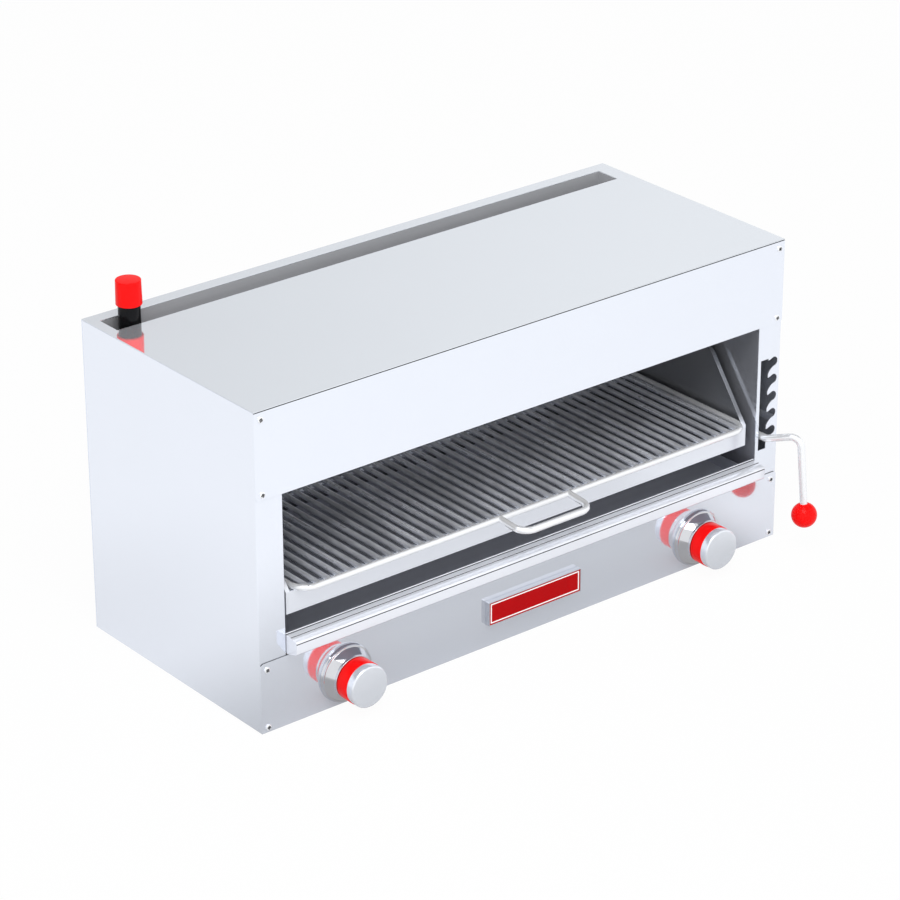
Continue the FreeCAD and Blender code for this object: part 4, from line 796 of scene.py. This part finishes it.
def softened(profile, radius, steps=SOFT_STEPS, closed=False):
    """Outline with its corners rounded, each by at most the room that it has."""
    points = [Vector(spot) for spot in profile]
    count = len(points)
    soft = []
    for number, corner in enumerate(points):
        if not closed and number in (0, count - 1):
            soft.append(corner)
            continue
        back = points[number - 1] - corner
        on = points[(number + 1) % count] - corner
        reach = min(radius, back.length * ROOM, on.length * ROOM)
        first, last = corner + back.normalized() * reach, corner + on.normalized() * reach
        soft += curve(first, corner, last, steps)
    return [tuple(spot) for spot in soft]


def extrusion(shape, outline, left, right):
    """Solid along X from an outline of Y and Z."""
    ends = [[shape.verts.new((x, y, z)) for y, z in outline] for x in (left, right)]
    join_rings(shape, ends)
    for end in ends:
        shape.faces.new(end)
    return shape


def block(shape, low, high):
    corners = bmesh.ops.create_cube(shape, size=1.0)["verts"]
    middle = (Vector(low) + Vector(high)) / 2
    for corner in corners:
        corner.co = Vector(a * (c - b) for a, b, c in zip(corner.co, low, high)) + middle
    return shape


def carved(mesh, cutter):
    """Mesh with another one cut out of it."""
    whole, tool = (bpy.data.objects.new(part.name, part) for part in (mesh, cutter))
    for part in (whole, tool):
        bpy.context.scene.collection.objects.link(part)
    cut = whole.modifiers.new("Cut", "BOOLEAN")
    cut.operation = "DIFFERENCE"
    cut.solver = "EXACT"
    cut.object = tool
    graph = bpy.context.evaluated_depsgraph_get()
    result = bpy.data.meshes.new_from_object(whole.evaluated_get(graph))
    bpy.data.objects.remove(whole)
    bpy.data.objects.remove(tool)
    return result


def flat_faced(node):
    """Shape of a CAD node with its flat faces made whole again."""
    source = frame["nodes"][node].data
    shape = bmesh.new()
    corners = [shape.verts.new(vertex.co) for vertex in source.vertices]
    for polygon in source.polygons:
        shape.faces.new([corners[index] for index in polygon.vertices])
    bmesh.ops.remove_doubles(shape, verts=shape.verts, dist=WELD_DISTANCE)
    bmesh.ops.dissolve_limit(shape, angle_limit=FLAT_ANGLE, verts=shape.verts, edges=shape.edges)
    return shape


def as_mesh(name, shape):
    """Closes a shape's normals and turns it into a mesh with soft and sharp edges."""
    bmesh.ops.recalc_face_normals(shape, faces=shape.faces)
    mesh = bpy.data.meshes.new(name)
    shape.to_mesh(mesh)
    shape.free()
    mesh.shade_smooth()
    mesh.set_sharp_from_angle(angle=SMOOTH_ANGLE)
    return mesh


def body_of(node):
    bodies = frame["record"]["behaviour"]["bodies"]
    return next(body for body, members in bodies.items() if node in members)


def slot_of(node):
    subparts = frame["record"]["subparts"]
    return next(part["material_slot"] for part in subparts if part["node"] == node)


def add_piece(name, shape, node):
    """Puts a shape in the scene in place of the CAD node that it stands for."""
    piece = bpy.data.objects.new(name, as_mesh(name, shape))
    bpy.context.scene.collection.objects.link(piece)
    piece.data.materials.append(finish_of(OWN_FINISHES.get(name, slot_of(node))))
    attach(piece, body_of(node))
    slot_of(node)
    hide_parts(node)
    return piece


def bevel(piece, width, segments=2):
    """Rounds the sharp edges of a piece."""
    rounding = piece.modifiers.new("Rounded edges", "BEVEL")
    rounding.width = width
    rounding.segments = segments
    rounding.limit_method = "ANGLE"
    rounding.angle_limit = BEVEL_ANGLE
    rounding.harden_normals = True


def radius_of(node):
    """Half the width of an upright or forward-facing round node."""
    low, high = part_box(node)
    return (high.x - low.x) / 2


def front_face():
    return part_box("control_panel")[0].y


def knob_centre(side):
    """Middle of a knob on the control panel's face."""
    low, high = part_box(side + "_bezel")
    return Vector(((low.x + high.x) / 2, high.y, (low.z + high.z) / 2))


# Pieces

class MELTER_OT_finishes(bpy.types.Operator):
    """Gives every node of the model the finish of its slot"""
    bl_idname = "melter.finishes"
    bl_label = "Finish the model"

    def execute(self, context):
        for name, node in frame["nodes"].items():
            for place in node.material_slots:
                place.material = finish_of(OWN_FINISHES.get(name, slot_of(name)))
        return {"FINISHED"}


class MELTER_OT_sheets(bpy.types.Operator):
    """Outer sheets with rounded cut edges"""
    bl_idname = "melter.sheets"
    bl_label = "Outer sheets"

    def execute(self, context):
        sizes = context.scene.melter_sheets
        bevel(add_piece("top_panel_sheet", flat_faced("top_panel"), "top_panel"), sizes.fold)
        for node in ("front_fascia", "control_panel"):
            shape = flat_faced(node)
            if node == "front_fascia":
                self.lower_edge(shape, sizes.seam)
            piece = add_piece(node + "_sheet", shape, node)
            bevel(piece, sizes.edge)
            # Painted shade: the faces that look up, such as the upper edge in the seam, take the dark shade sheet
            piece.data.materials.append(finish_of("painted_shade_sheet"))
            for face in piece.data.polygons:
                face.material_index = int(face.normal.z > FACING)
        for node in ("left_side_panel", "right_side_panel", "back_panel"):
            bevel(add_piece(node + "_sheet", flat_faced(node), node), sizes.edge)
        return {"FINISHED"}

    def lower_edge(self, shape, seam):
        """Opens the seam under the top sheet's front edge."""
        top = max(vertex.co.z for vertex in shape.verts)
        front = min(vertex.co.y for vertex in shape.verts)
        for vertex in shape.verts:
            if vertex.co.z > top - WELD_DISTANCE and vertex.co.y < front + WELD_DISTANCE:
                vertex.co.z -= seam


class MELTER_OT_carrier(bpy.types.Operator):
    """Rack carrier and drip tray with rounded cut edges"""
    bl_idname = "melter.carrier"
    bl_label = "Carrier and tray"

    def execute(self, context):
        for node in ("rack_carrier", "drip_tray"):
            piece = add_piece(node + "_sheet", flat_faced(node), node)
            bevel(piece, context.scene.melter_sheets.edge)
        return {"FINISHED"}


class MELTER_OT_grate(bpy.types.Operator):
    """Welded wire grate and its bow handle"""
    bl_idname = "melter.grate"
    bl_label = "Wire grate"

    def execute(self, context):
        sizes = context.scene.melter_grate
        low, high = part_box("grate")
        bar, rod = sizes.bar_radius, sizes.rod_radius
        level, side = high.z - bar, high.x - bar
        front, rear = low.y + bar, high.y - bar
        plan = [(-side, front), (side, front), (side, rear), (-side, rear)]
        edge = ring_route([Vector((x, y, level)) for x, y in plan], sizes.corner)
        # Painted highlight: the edge bar takes the lighter plated finish, not the wire's
        add_piece("grate_edge_bar", tube(bmesh.new(), edge, bar, closed=True), "grate")
        shape = bmesh.new()
        top = high.z - rod
        count = int((side - bar - rod - sizes.rod_end_gap) / sizes.rod_pitch)
        for number in range(-count, count + 1):
            x = number * sizes.rod_pitch
            tube(shape, [Vector((x, front, top)), Vector((x, rear, top))], rod, sides=16)
            for y, inward in ((front, 1), (rear, -1)):
                self.weld(shape, Vector((x, y, level)), sizes, inward)
        reach = count * sizes.rod_pitch + rod
        ends = [Vector((x, self.stop_place(), low.z + sizes.stop_radius)) for x in (-reach, reach)]
        tube(shape, ends, sizes.stop_radius)
        add_piece("wire_grate", shape, "grate")
        self.handle(sizes, front, level)
        return {"FINISHED"}

    def stop_place(self):
        """Middle of the stop bar, which is all that the grate has below its rods."""
        node = frame["nodes"]["grate"].data
        lowest = min(vertex.co.z for vertex in node.vertices)
        return next(vertex.co.y for vertex in node.vertices if vertex.co.z < lowest + WELD_DISTANCE)

    def weld(self, shape, spot, sizes, inward):
        """Bead that runs from inside the bar onto a rod's end and thins towards it."""
        root, shoulder, swell, sag = 0.4, 0.6, 0.35, 0.3
        start = spot + Vector((0, inward * sizes.bar_radius * root, 0))
        end = spot + Vector((0, inward * (sizes.bar_radius + sizes.weld), 0))
        along = end - start
        bead = sizes.rod_radius + sizes.weld * swell
        profile = [(0, bead), (along.length * shoulder, bead), (along.length, sizes.rod_radius)]
        lathe(shape, profile, start - Vector((0, 0, sizes.weld * sag)), along, sides=12)

    def handle(self, sizes, front, level):
        low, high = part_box("grate_handle")
        radius = sizes.handle_radius
        reach, drop, half = low.y + radius, low.z + radius, high.x - radius
        points = [
            Vector((-half, front, level)), Vector((-half, reach, drop)),
            Vector((half, reach, drop)), Vector((half, front, level)),
        ]
        bow = tube(bmesh.new(), route(points, sizes.handle_bend), radius, sides=32)
        add_piece("bow_handle", bow, "grate_handle")


class MELTER_OT_lever(bpy.types.Operator):
    """Bent lever with its eye and ball"""
    bl_idname = "melter.lever"
    bl_label = "Lever"

    def execute(self, context):
        sizes = context.scene.melter_lever
        radius = radius_of("ball_knob")
        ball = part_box("ball_knob")[0] + Vector((radius, radius, radius))
        joint = next(joint for joint in frame["joints"] if joint["name"] == "lever_swing")
        pin = Vector(joint["pos_m"])
        front = front_face()
        rise = pin.z + sizes.corner_rise
        corner = Vector((pin.x + sizes.corner_offset, front - sizes.corner_reach, rise))
        crank = Vector((pin.x, front - sizes.crank_reach, pin.z))
        points = [pin - Vector((0, sizes.pin_head, 0)), crank, corner, ball]
        bar = tube(bmesh.new(), route(points, sizes.bend), sizes.rod_radius, sides=32)
        half, inner, outer = sizes.eye_thickness / 2, sizes.pin_radius, sizes.eye_radius
        ring = [(-half, inner), (-half, outer), (half, outer), (half, inner)]
        axis = Vector((-math.sin(sizes.tilt), 0, math.cos(sizes.tilt)))
        eye = softened(ring, sizes.eye_edge, closed=True)
        add_piece("lever_bar", lathe(bar, eye, pin, axis, sides=48, closed=True), "lever_rod")
        self.ball(ball, (corner - ball).normalized(), radius, sizes)
        return {"FINISHED"}

    def ball(self, centre, up, radius, sizes):
        """Ball with a small flat collar round the bar."""
        bore, steps = sizes.rod_radius, 40
        flat = math.asin((bore + sizes.collar_flat) / radius)
        profile = [(-radius, 0.0)]
        for step in range(1, steps + 1):
            angle = math.pi - (math.pi - flat) * step / steps
            profile.append((radius * math.cos(angle), radius * math.sin(angle)))
        top = radius * math.cos(flat)
        collar = top + sizes.collar_rise
        profile += [(collar, bore + sizes.collar_wall), (collar, bore), (top - sizes.socket, bore)]
        add_piece("red_ball", lathe(bmesh.new(), profile, centre, up, sides=72), "ball_knob")


class MELTER_OT_knobs(bpy.types.Operator):
    """Bezels, coloured rings and turned caps of both knobs"""
    bl_idname = "melter.knobs"
    bl_label = "Knobs"

    def execute(self, context):
        sizes = context.scene.melter_knobs
        for side in ("left", "right"):
            for make, name, node in (
                (self.bezel, "_chrome_bezel", "_bezel"),
                (self.ring, "_red_ring", "_knob_ring"),
                (self.cap, "_turned_cap", "_knob_cap"),
            ):
                self.turned(side + name, side + node, knob_centre(side), make, sizes)
        return {"FINISHED"}

    def turned(self, name, node, centre, make, sizes):
        """Turned piece on a knob's axis, between the depths of its node."""
        low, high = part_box(node)
        profile, closed = make(sizes, centre.y - high.y, centre.y - low.y, radius_of(node))
        add_piece(name, lathe(bmesh.new(), profile, centre, (0, -1, 0), closed=closed), node)

    def bezel(self, sizes, start, end, radius):
        flange, step, cone = sizes.flange_radius, sizes.shoulder_depth, sizes.cone_radius
        edge, wall, collar = sizes.flange_edge, sizes.bezel_wall, sizes.collar_radius
        outline = [
            (0, flange - edge), (0, flange), (edge, flange),
            (step - edge, sizes.shoulder_radius), (step, sizes.shoulder_radius), (step, cone),
            (sizes.collar_depth, collar), (end, collar), (end, sizes.shaft),
            (end - wall, sizes.shaft), (sizes.collar_depth, collar - wall),
            (step - wall, cone - wall),
        ]
        return softened(outline, sizes.soft, closed=True), True

    def ring(self, sizes, start, end, radius):
        """Hollow ring with a closed front."""
        skirt, back = radius - sizes.bezel_wall, end - sizes.ring_front
        outline = [(start, skirt), (start, radius), (end, radius), (end, 0.0)]
        inside = [(back, 0.0), (back, skirt), (start, skirt)]
        return softened(outline, sizes.grip_soft) + inside, False

    def cap(self, sizes, start, end, radius):
        edge = sizes.cap_edge
        outline = [
            (start, 0.0), (start, radius), (end - edge, radius), (end, radius - edge), (end, 0.0),
        ]
        return softened(outline, sizes.cap_soft), False


class MELTER_OT_tray_lip(bpy.types.Operator):
    """Rolled front lip of the drip tray"""
    bl_idname = "melter.tray_lip"
    bl_label = "Tray lip"

    def execute(self, context):
        sizes = context.scene.melter_tray
        low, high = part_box("tray_lip")
        ridge, crease = sizes.ridge, sizes.crease
        bead_front = high.y - sizes.bead
        shelf_back = bead_front - sizes.groove_width
        groove_floor = high.z - sizes.groove
        shelf = high.z - sizes.shelf_drop
        nose_top = high.z - sizes.nose_drop
        ridge_back = high.y - sizes.ridge_place
        fall = (shelf - nose_top) / (shelf_back - low.y)
        under_ridge = shelf - (shelf_back - ridge_back) * fall
        crease_top = nose_top - sizes.nose_face
        crease_floor, crease_foot = crease_top - crease * 0.5, crease_top - crease * 1.5
        face = low.y + crease * 0.3
        foot_back = high.y - (high.y - low.y) * 0.2
        nose_back = Vector((low.y + sizes.nose, nose_top + sizes.nose * fall))
        nose = curve(nose_back, Vector((low.y, nose_top)), Vector((low.y, crease_top)), NOSE_STEPS)
        outline = [
            ((high.y, low.z), 0.0),
            ((high.y, high.z), sizes.bead_soft),
            ((bead_front, high.z), sizes.bead_soft),
            ((bead_front, groove_floor), 0.0),
            ((shelf_back, groove_floor), 0.0),
            ((shelf_back, shelf), sizes.shelf_soft),
            ((ridge_back, under_ridge + ridge / 2), 0.0),
            ((ridge_back - ridge / 2, under_ridge - ridge / 2), 0.0),
            *[(tuple(spot), 0.0) for spot in nose],
            ((low.y + crease, crease_floor), 0.0),
            ((face, crease_foot), 0.0),
            ((face, low.z + sizes.foot_rise), sizes.foot),
            ((foot_back, low.z), 0.0),
        ]
        lip = extrusion(bmesh.new(), self.rounded_outline(outline), low.x, high.x)
        piece = add_piece("rolled_lip", lip, "tray_lip")
        # Bands whose faces take painted shade: the groove's wall and floor, the ridge and the crease
        lines = [
            (bead_front - HAIR, bead_front + HAIR, groove_floor, high.z - 8 * HAIR),
            (shelf_back, bead_front, groove_floor - HAIR, groove_floor + HAIR),
            (ridge_back - ridge, ridge_back, under_ridge - ridge, under_ridge + ridge),
            (low.y, low.y + crease, crease_foot + HAIR, crease_top - HAIR / 2),
        ]
        self.shade(piece.data, lines)
        bevel(piece, sizes.end_edge)
        return {"FINISHED"}

    def shade(self, mesh, lines):
        """Painted shade: dark faces in the groove, at the ridge and in the crease, and the darker tray steel on
        the underside.
        """
        for finish in ("tray_steel", "painted_shade_sheet"):
            mesh.materials.append(finish_of(finish))
        for face in mesh.polygons:
            y, z = face.center.y, face.center.z
            painted_shade_line = any(back < y < front and low < z < high for back, front, low, high in lines)
            if painted_shade_line and abs(face.normal.x) < FACING:
                face.material_index = 2
            else:
                # Painted shade under the lip: its downward faces take the darker tray steel
                face.material_index = int(face.normal.z < -FACING)

    def rounded_outline(self, corners):
        """Outline whose corners each have their own rounding."""
        soft = []
        for number, (spot, radius) in enumerate(corners):
            before, after = corners[number - 1][0], corners[(number + 1) % len(corners)][0]
            if radius:
                soft += softened([before, spot, after], radius, steps=NOSE_STEPS)[1:-1]
            else:
                soft.append(spot)
        return soft


class MELTER_OT_plate(bpy.types.Operator):
    """Bare plate on the control panel: a bright rim round a red face"""
    bl_idname = "melter.plate"
    bl_label = "Plate"

    def execute(self, context):
        sizes = context.scene.melter_plate
        add_piece("red_face", flat_faced("badge_inlay"), "badge_inlay")
        rim = self.surround(sizes.rim)
        bevel(add_piece("plate_rim", rim, "badge_frame"), sizes.rim_edge, segments=3)
        return {"FINISHED"}

    def surround(self, rim):
        """Shallow tray that holds the red face, with its rim standing over it."""
        shape = bmesh.new()
        front, back = (corner.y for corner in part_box("badge_frame"))
        low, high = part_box("badge_inlay")
        places = [(rim, back), (rim, front), (0.0, front), (0.0, high.y)]
        rings = []
        for out, y in places:
            left, right, bottom, top = low.x - out, high.x + out, low.z - out, high.z + out
            plan = [(left, bottom), (right, bottom), (right, top), (left, top)]
            rings.append([shape.verts.new((x, y, z)) for x, z in plan])
        join_rings(shape, rings)
        shape.faces.new(rings[0])
        shape.faces.new(rings[-1])
        return shape


# Screws: turn of the first and from each to the next in degrees, and how much of the head is
# its straight wall and how wide its crown starts
FIRST_TWIST, NEXT_TWIST = 23, 37
HEAD_WALL, CROWN = 0.55, 0.98


class MELTER_OT_screws(bpy.types.Operator):
    """Cross-head screws of the front and the back"""
    bl_idname = "melter.screws"
    bl_label = "Screws"

    def execute(self, context):
        sizes = context.scene.melter_screws
        head = self.head(sizes)
        shape = bmesh.new()
        for number, (spot, outward) in enumerate(self.places(sizes)):
            twist = Matrix.Rotation(math.radians(FIRST_TWIST + NEXT_TWIST * number), 4, "Z")
            lean = Vector((0, outward, 0)).to_track_quat("Z", "X").to_matrix().to_4x4()
            place = Matrix.Translation(spot) @ lean @ twist
            head.transform(place)
            shape.from_mesh(head)
            head.transform(place.inverted())
        screws = add_piece("cross_head_screws", shape, "panel_screws")
        # Painted shade in the cross recesses
        screws.data.materials.append(finish_of("painted_shade_sheet"))
        return {"FINISHED"}

    def places(self, sizes):
        low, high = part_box("back_panel")
        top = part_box("top_panel")[1].z
        heights = [
            top - sizes.fascia_drop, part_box("front_fascia")[0].z + sizes.fascia_rise,
            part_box("control_panel")[1].z - sizes.panel_drop, sizes.panel_rise,
        ]
        rows = (sizes.back_inset, top / 2, top - sizes.back_inset)
        sides = (sizes.inset - high.x, high.x - sizes.inset)
        spots = [(Vector((x, front_face(), z)), -1) for x in sides for z in heights]
        return spots + [(Vector((x, high.y, z)), 1) for x in sides for z in rows]

    def head(self, sizes):
        """Pan head along Z with a cross recess, whose faces have the second material, painted shade."""
        radius, height = sizes.head_radius, sizes.head_height
        wall = height * HEAD_WALL
        profile = [(0.0, 0.0), (0.0, radius), (wall, radius)]
        for step in range(1, SOFT_STEPS):
            angle = math.pi / 2 * step / SOFT_STEPS
            rise = wall + (height - wall) * math.sin(angle)
            profile.append((rise, radius * math.cos(angle) * CROWN))
        profile.append((height, 0.0))
        head = as_mesh("head", lathe(bmesh.new(), profile, Vector(), (0, 0, 1), sides=32))
        long, wide = sizes.slot_length / 2, sizes.slot_width / 2
        floor = height - sizes.slot_depth
        for x, y, bottom in ((long, wide, floor), (wide, long, floor - HAIR / 2)):
            slot = block(bmesh.new(), (-x, -y, bottom), (x, y, height * 2))
            head = carved(head, as_mesh("slot", slot))
        for face in head.polygons:
            middle = face.center
            deep = 0 < middle.z < height - HAIR
            inside = math.hypot(middle.x, middle.y) < long + HAIR / 2
            face.material_index = int(deep and inside)
        return head


class MELTER_OT_inlet(bpy.types.Operator):
    """Iron inlet pipe and its push-on cap"""
    bl_idname = "melter.inlet"
    bl_label = "Gas inlet"

    def execute(self, context):
        sizes = context.scene.melter_inlet
        low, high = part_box("inlet_pipe")
        radius = sizes.pipe_radius
        x, y, foot = (low.x + high.x) / 2, high.y - radius, low.z + radius
        points = [Vector((x, low.y, foot)), Vector((x, y, foot)), Vector((x, y, high.z))]
        path = route(points, sizes.bend, steps=16)
        pipe = as_mesh("pipe", tube(bmesh.new(), path, radius, sides=64))
        path[0] -= Vector((0, radius, 0))
        path[-1] += Vector((0, 0, radius))
        bore = as_mesh("bore", tube(bmesh.new(), path, radius - sizes.wall, sides=64))
        shape = bmesh.new()
        shape.from_mesh(carved(pipe, bore))
        bevel(add_piece("iron_pipe", shape, "inlet_pipe"), sizes.pipe_edge)
        self.cap(sizes, Vector((x, y, 0)))
        return {"FINISHED"}

    def cap(self, sizes, middle):
        low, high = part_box("inlet_cap")
        radius = radius_of("inlet_cap")
        inner, roof = radius - sizes.cap_wall, high.z - sizes.cap_wall
        outline = [
            (low.z, inner), (low.z, radius), (high.z, radius - sizes.cap_taper), (high.z, 0.0),
        ]
        profile = softened(outline, sizes.cap_edge) + [(roof, 0.0), (roof, inner), (low.z, inner)]
        shape = lathe(bmesh.new(), profile, middle, (0, 0, 1))
        bmesh.ops.remove_doubles(shape, verts=shape.verts, dist=WELD_DISTANCE)
        add_piece("pipe_cap", shape, "inlet_cap")


# Floor: its gap under the melter, and where the shadow painted into its glow lightens towards the back and the
# right
FLOOR_GAP = 0.2 * MM
PAINTED_SHADOW_FRONT, PAINTED_SHADOW_RIGHT = (-0.22, 0.08), (0.28, 0.46)

# Softbox
KEY_PLACE, KEY_AIM = Vector((-0.9, -1.4, 2.6)), Vector((0, 0, 0.2))

# Room, by direction: the walls' corners, the ceiling's edge, which rises in front and falls at
# the right, and the sides of the left window and of the one at the top right
WALL_DEPTH, WALL_CORNER = (0.0, 0.3), (0.46, 0.66)
CEILING_EDGE, FRONT_RISE = (0.60, 0.66), 0.5
RIGHT_START, RIGHT_FALL = 0.6, 0.8
LEFT_WINDOW = (-0.05, 0.0)
TOP_LEFT, TOP_RIGHT, TOP_HEIGHT = (0.40, 0.43), (-0.62, -0.58), (0.75, 0.77)


class MELTER_OT_studio(bpy.types.Operator):
    """Pale floor, soft light and the camera"""
    bl_idname = "melter.studio"
    bl_label = "Studio"

    def execute(self, context):
        studio = context.scene.melter_studio
        self.floor(studio)
        self.room(context.scene, studio)
        self.key_light(context.scene, studio)
        self.camera(context.scene, studio)
        context.scene.view_settings.view_transform = "Standard"
        return {"FINISHED"}

    def floor(self, studio):
        shape = bmesh.new()
        bmesh.ops.create_grid(shape, x_segments=1, y_segments=1, size=studio.floor_size / 2)
        bmesh.ops.translate(shape, verts=shape.verts, vec=(0, 0, -FLOOR_GAP))
        floor = bpy.data.objects.new("studio_floor", as_mesh("studio_floor", shape))
        bpy.context.scene.collection.objects.link(floor)
        material = bpy.data.materials.new("studio_paint")
        nodes = Nodes(material)
        nodes.finish(self.floor_paint(nodes, studio))
        floor.data.materials.append(material)

    def floor_paint(self, nodes, studio):
        """Pale paint that the camera sees as a clean backdrop and metal sees as a glow with a painted shadow round
        the melter, the real shadow kept.
        """
        low, high = CAD_BOX
        across = nodes.along("X")
        deep = across.sibling("Y")
        beside = nodes.largest(nodes.absolute(across) - high.x, 0.0)
        before = nodes.largest(nodes.absolute(deep) - high.y, 0.0)
        away = nodes.spread(nodes.diagonal(beside, before), 0.0, studio.floor_fade)
        front = nodes.spread(deep, *PAINTED_SHADOW_FRONT, studio.floor_near, studio.floor_side)
        near = nodes.largest(front, nodes.spread(across, *PAINTED_SHADOW_RIGHT, 0.0, studio.floor_side))
        # Painted shadow: the glow is dark before the melter and lightens outwards, to the back and to the right
        light = near + (1.0 - near) * away
        seen = nodes.add("ShaderNodeLightPath", output="Is Camera Ray")
        mirrored = nodes.largest(seen.sibling("Is Glossy Ray"), seen.sibling("Is Transmission Ray"))
        paint = nodes.worn(nodes.noise(40.0, detail=3.0), studio.floor_colour, share=0.98)
        diffuse = nodes.add("ShaderNodeBsdfDiffuse", {}, {"Color": paint, "Roughness": 0.0})
        # The camera sees this glow white, and metal sees its painted shadow
        glow = nodes.white(nodes.largest(light, seen))
        backdrop = nodes.add("ShaderNodeEmission", {}, {"Color": glow, "Strength": 1.0})
        factor = seen * studio.seen_share + mirrored * (1.0 - seen) * studio.mirrored_share
        return nodes.add("ShaderNodeMixShader", {}, {0: factor, 1: diffuse, 2: backdrop})

    def room(self, scene, studio):
        """White walls under a dim ceiling with two bright windows, and white to the camera."""
        scene.world = bpy.data.worlds.new("studio_room")
        nodes = Nodes(scene.world)
        across = nodes.along("X", "Generated")
        deep, height = across.sibling("Y"), across.sibling("Z")
        behind = nodes.spread(deep, *WALL_DEPTH)
        wall = nodes.spread(across, *WALL_CORNER, studio.wall_left, studio.wall_right)
        walls = behind * wall + (1.0 - behind) * studio.wall_front
        front_rise = nodes.largest(0.0 - deep, 0.0) * FRONT_RISE
        right_fall = nodes.largest(across - RIGHT_START, 0.0) * RIGHT_FALL
        overhead = nodes.spread(height - front_rise + right_fall, *CEILING_EDGE)
        left_window = nodes.spread(0.0 - across, *LEFT_WINDOW)
        top_width = nodes.spread(across, *TOP_LEFT) * nodes.spread(0.0 - across, *TOP_RIGHT)
        top_window = top_width * nodes.spread(height, *TOP_HEIGHT)
        dim = overhead * (1.0 - nodes.largest(left_window, top_window))
        light = walls + (studio.ceiling - walls) * dim
        seen = nodes.add("ShaderNodeLightPath", output="Is Camera Ray")
        colour = nodes.white(nodes.largest(light, seen))
        backdrop = nodes.add("ShaderNodeBackground", {}, {"Color": colour, "Strength": 1.0})
        nodes.finish(backdrop, "ShaderNodeOutputWorld")

    def key_light(self, scene, studio):
        lamp = bpy.data.lights.new("key_softbox", "AREA")
        lamp.shape = "SQUARE"
        lamp.size = studio.key_size
        lamp.energy = studio.key_power
        light = bpy.data.objects.new("key_softbox", lamp)
        light.location = KEY_PLACE
        light.rotation_mode = "QUATERNION"
        light.rotation_quaternion = (light.location - KEY_AIM).to_track_quat("Z", "Y")
        scene.collection.objects.link(light)

    def camera(self, scene, studio):
        """Camera that looks at the aim from the photographed side."""
        lens = bpy.data.cameras.new("studio_camera")
        lens.lens = studio.lens
        camera = bpy.data.objects.new("studio_camera", lens)
        scene.collection.objects.link(camera)
        sine, cosine = math.sin(studio.azimuth), math.cos(studio.azimuth)
        level = math.cos(studio.elevation)
        back = Vector((sine * level, -cosine * level, math.sin(studio.elevation)))
        right = Vector((cosine, sine, 0))
        up = back.cross(right)
        across = right * math.cos(studio.roll) + up * math.sin(studio.roll)
        upright = up * math.cos(studio.roll) - right * math.sin(studio.roll)
        aim = Vector((studio.aim_x, 0, studio.aim_z))
        pose = Matrix((across, upright, back)).transposed().to_4x4()
        camera.matrix_world = Matrix.Translation(aim + back * studio.distance) @ pose
        scene.camera = camera


OPERATORS = [
    MELTER_OT_finishes, MELTER_OT_sheets, MELTER_OT_carrier, MELTER_OT_grate, MELTER_OT_lever,
    MELTER_OT_knobs, MELTER_OT_tray_lip, MELTER_OT_plate, MELTER_OT_screws, MELTER_OT_inlet,
    MELTER_OT_studio,
]


class MELTER_PT_panel(bpy.types.Panel):
    """Lists the pieces in the sidebar"""
    bl_idname = "MELTER_PT_panel"
    bl_label = "Cheese melter"
    bl_space_type = "VIEW_3D"
    bl_region_type = "UI"
    bl_category = "Cheese melter"

    def draw(self, context):
        for operator in OPERATORS:
            self.layout.operator(operator.bl_idname)
        for name in GROUPS:
            group = getattr(context.scene, name)
            box = self.layout.box()
            for setting in group.bl_rna.properties:
                if setting.identifier in group.__annotations__:
                    box.prop(group, setting.identifier)


def register():
    for group in GROUPS.values():
        bpy.utils.register_class(group)
    for name, group in GROUPS.items():
        setattr(bpy.types.Scene, name, bpy.props.PointerProperty(type=group))
    for operator in OPERATORS:
        bpy.utils.register_class(operator)
    bpy.utils.register_class(MELTER_PT_panel)


def unregister():
    bpy.utils.unregister_class(MELTER_PT_panel)
    for operator in reversed(OPERATORS):
        bpy.utils.unregister_class(operator)
    for name, group in GROUPS.items():
        delattr(bpy.types.Scene, name)
        bpy.utils.unregister_class(group)


def main():
    register()
    bpy.ops.melter.finishes()
    bpy.ops.melter.sheets()
    bpy.ops.melter.carrier()
    bpy.ops.melter.grate()
    bpy.ops.melter.lever()
    bpy.ops.melter.knobs()
    bpy.ops.melter.tray_lip()
    bpy.ops.melter.plate()
    bpy.ops.melter.screws()
    bpy.ops.melter.inlet()
    bpy.ops.melter.studio()


if __name__ == "__main__":
    main()
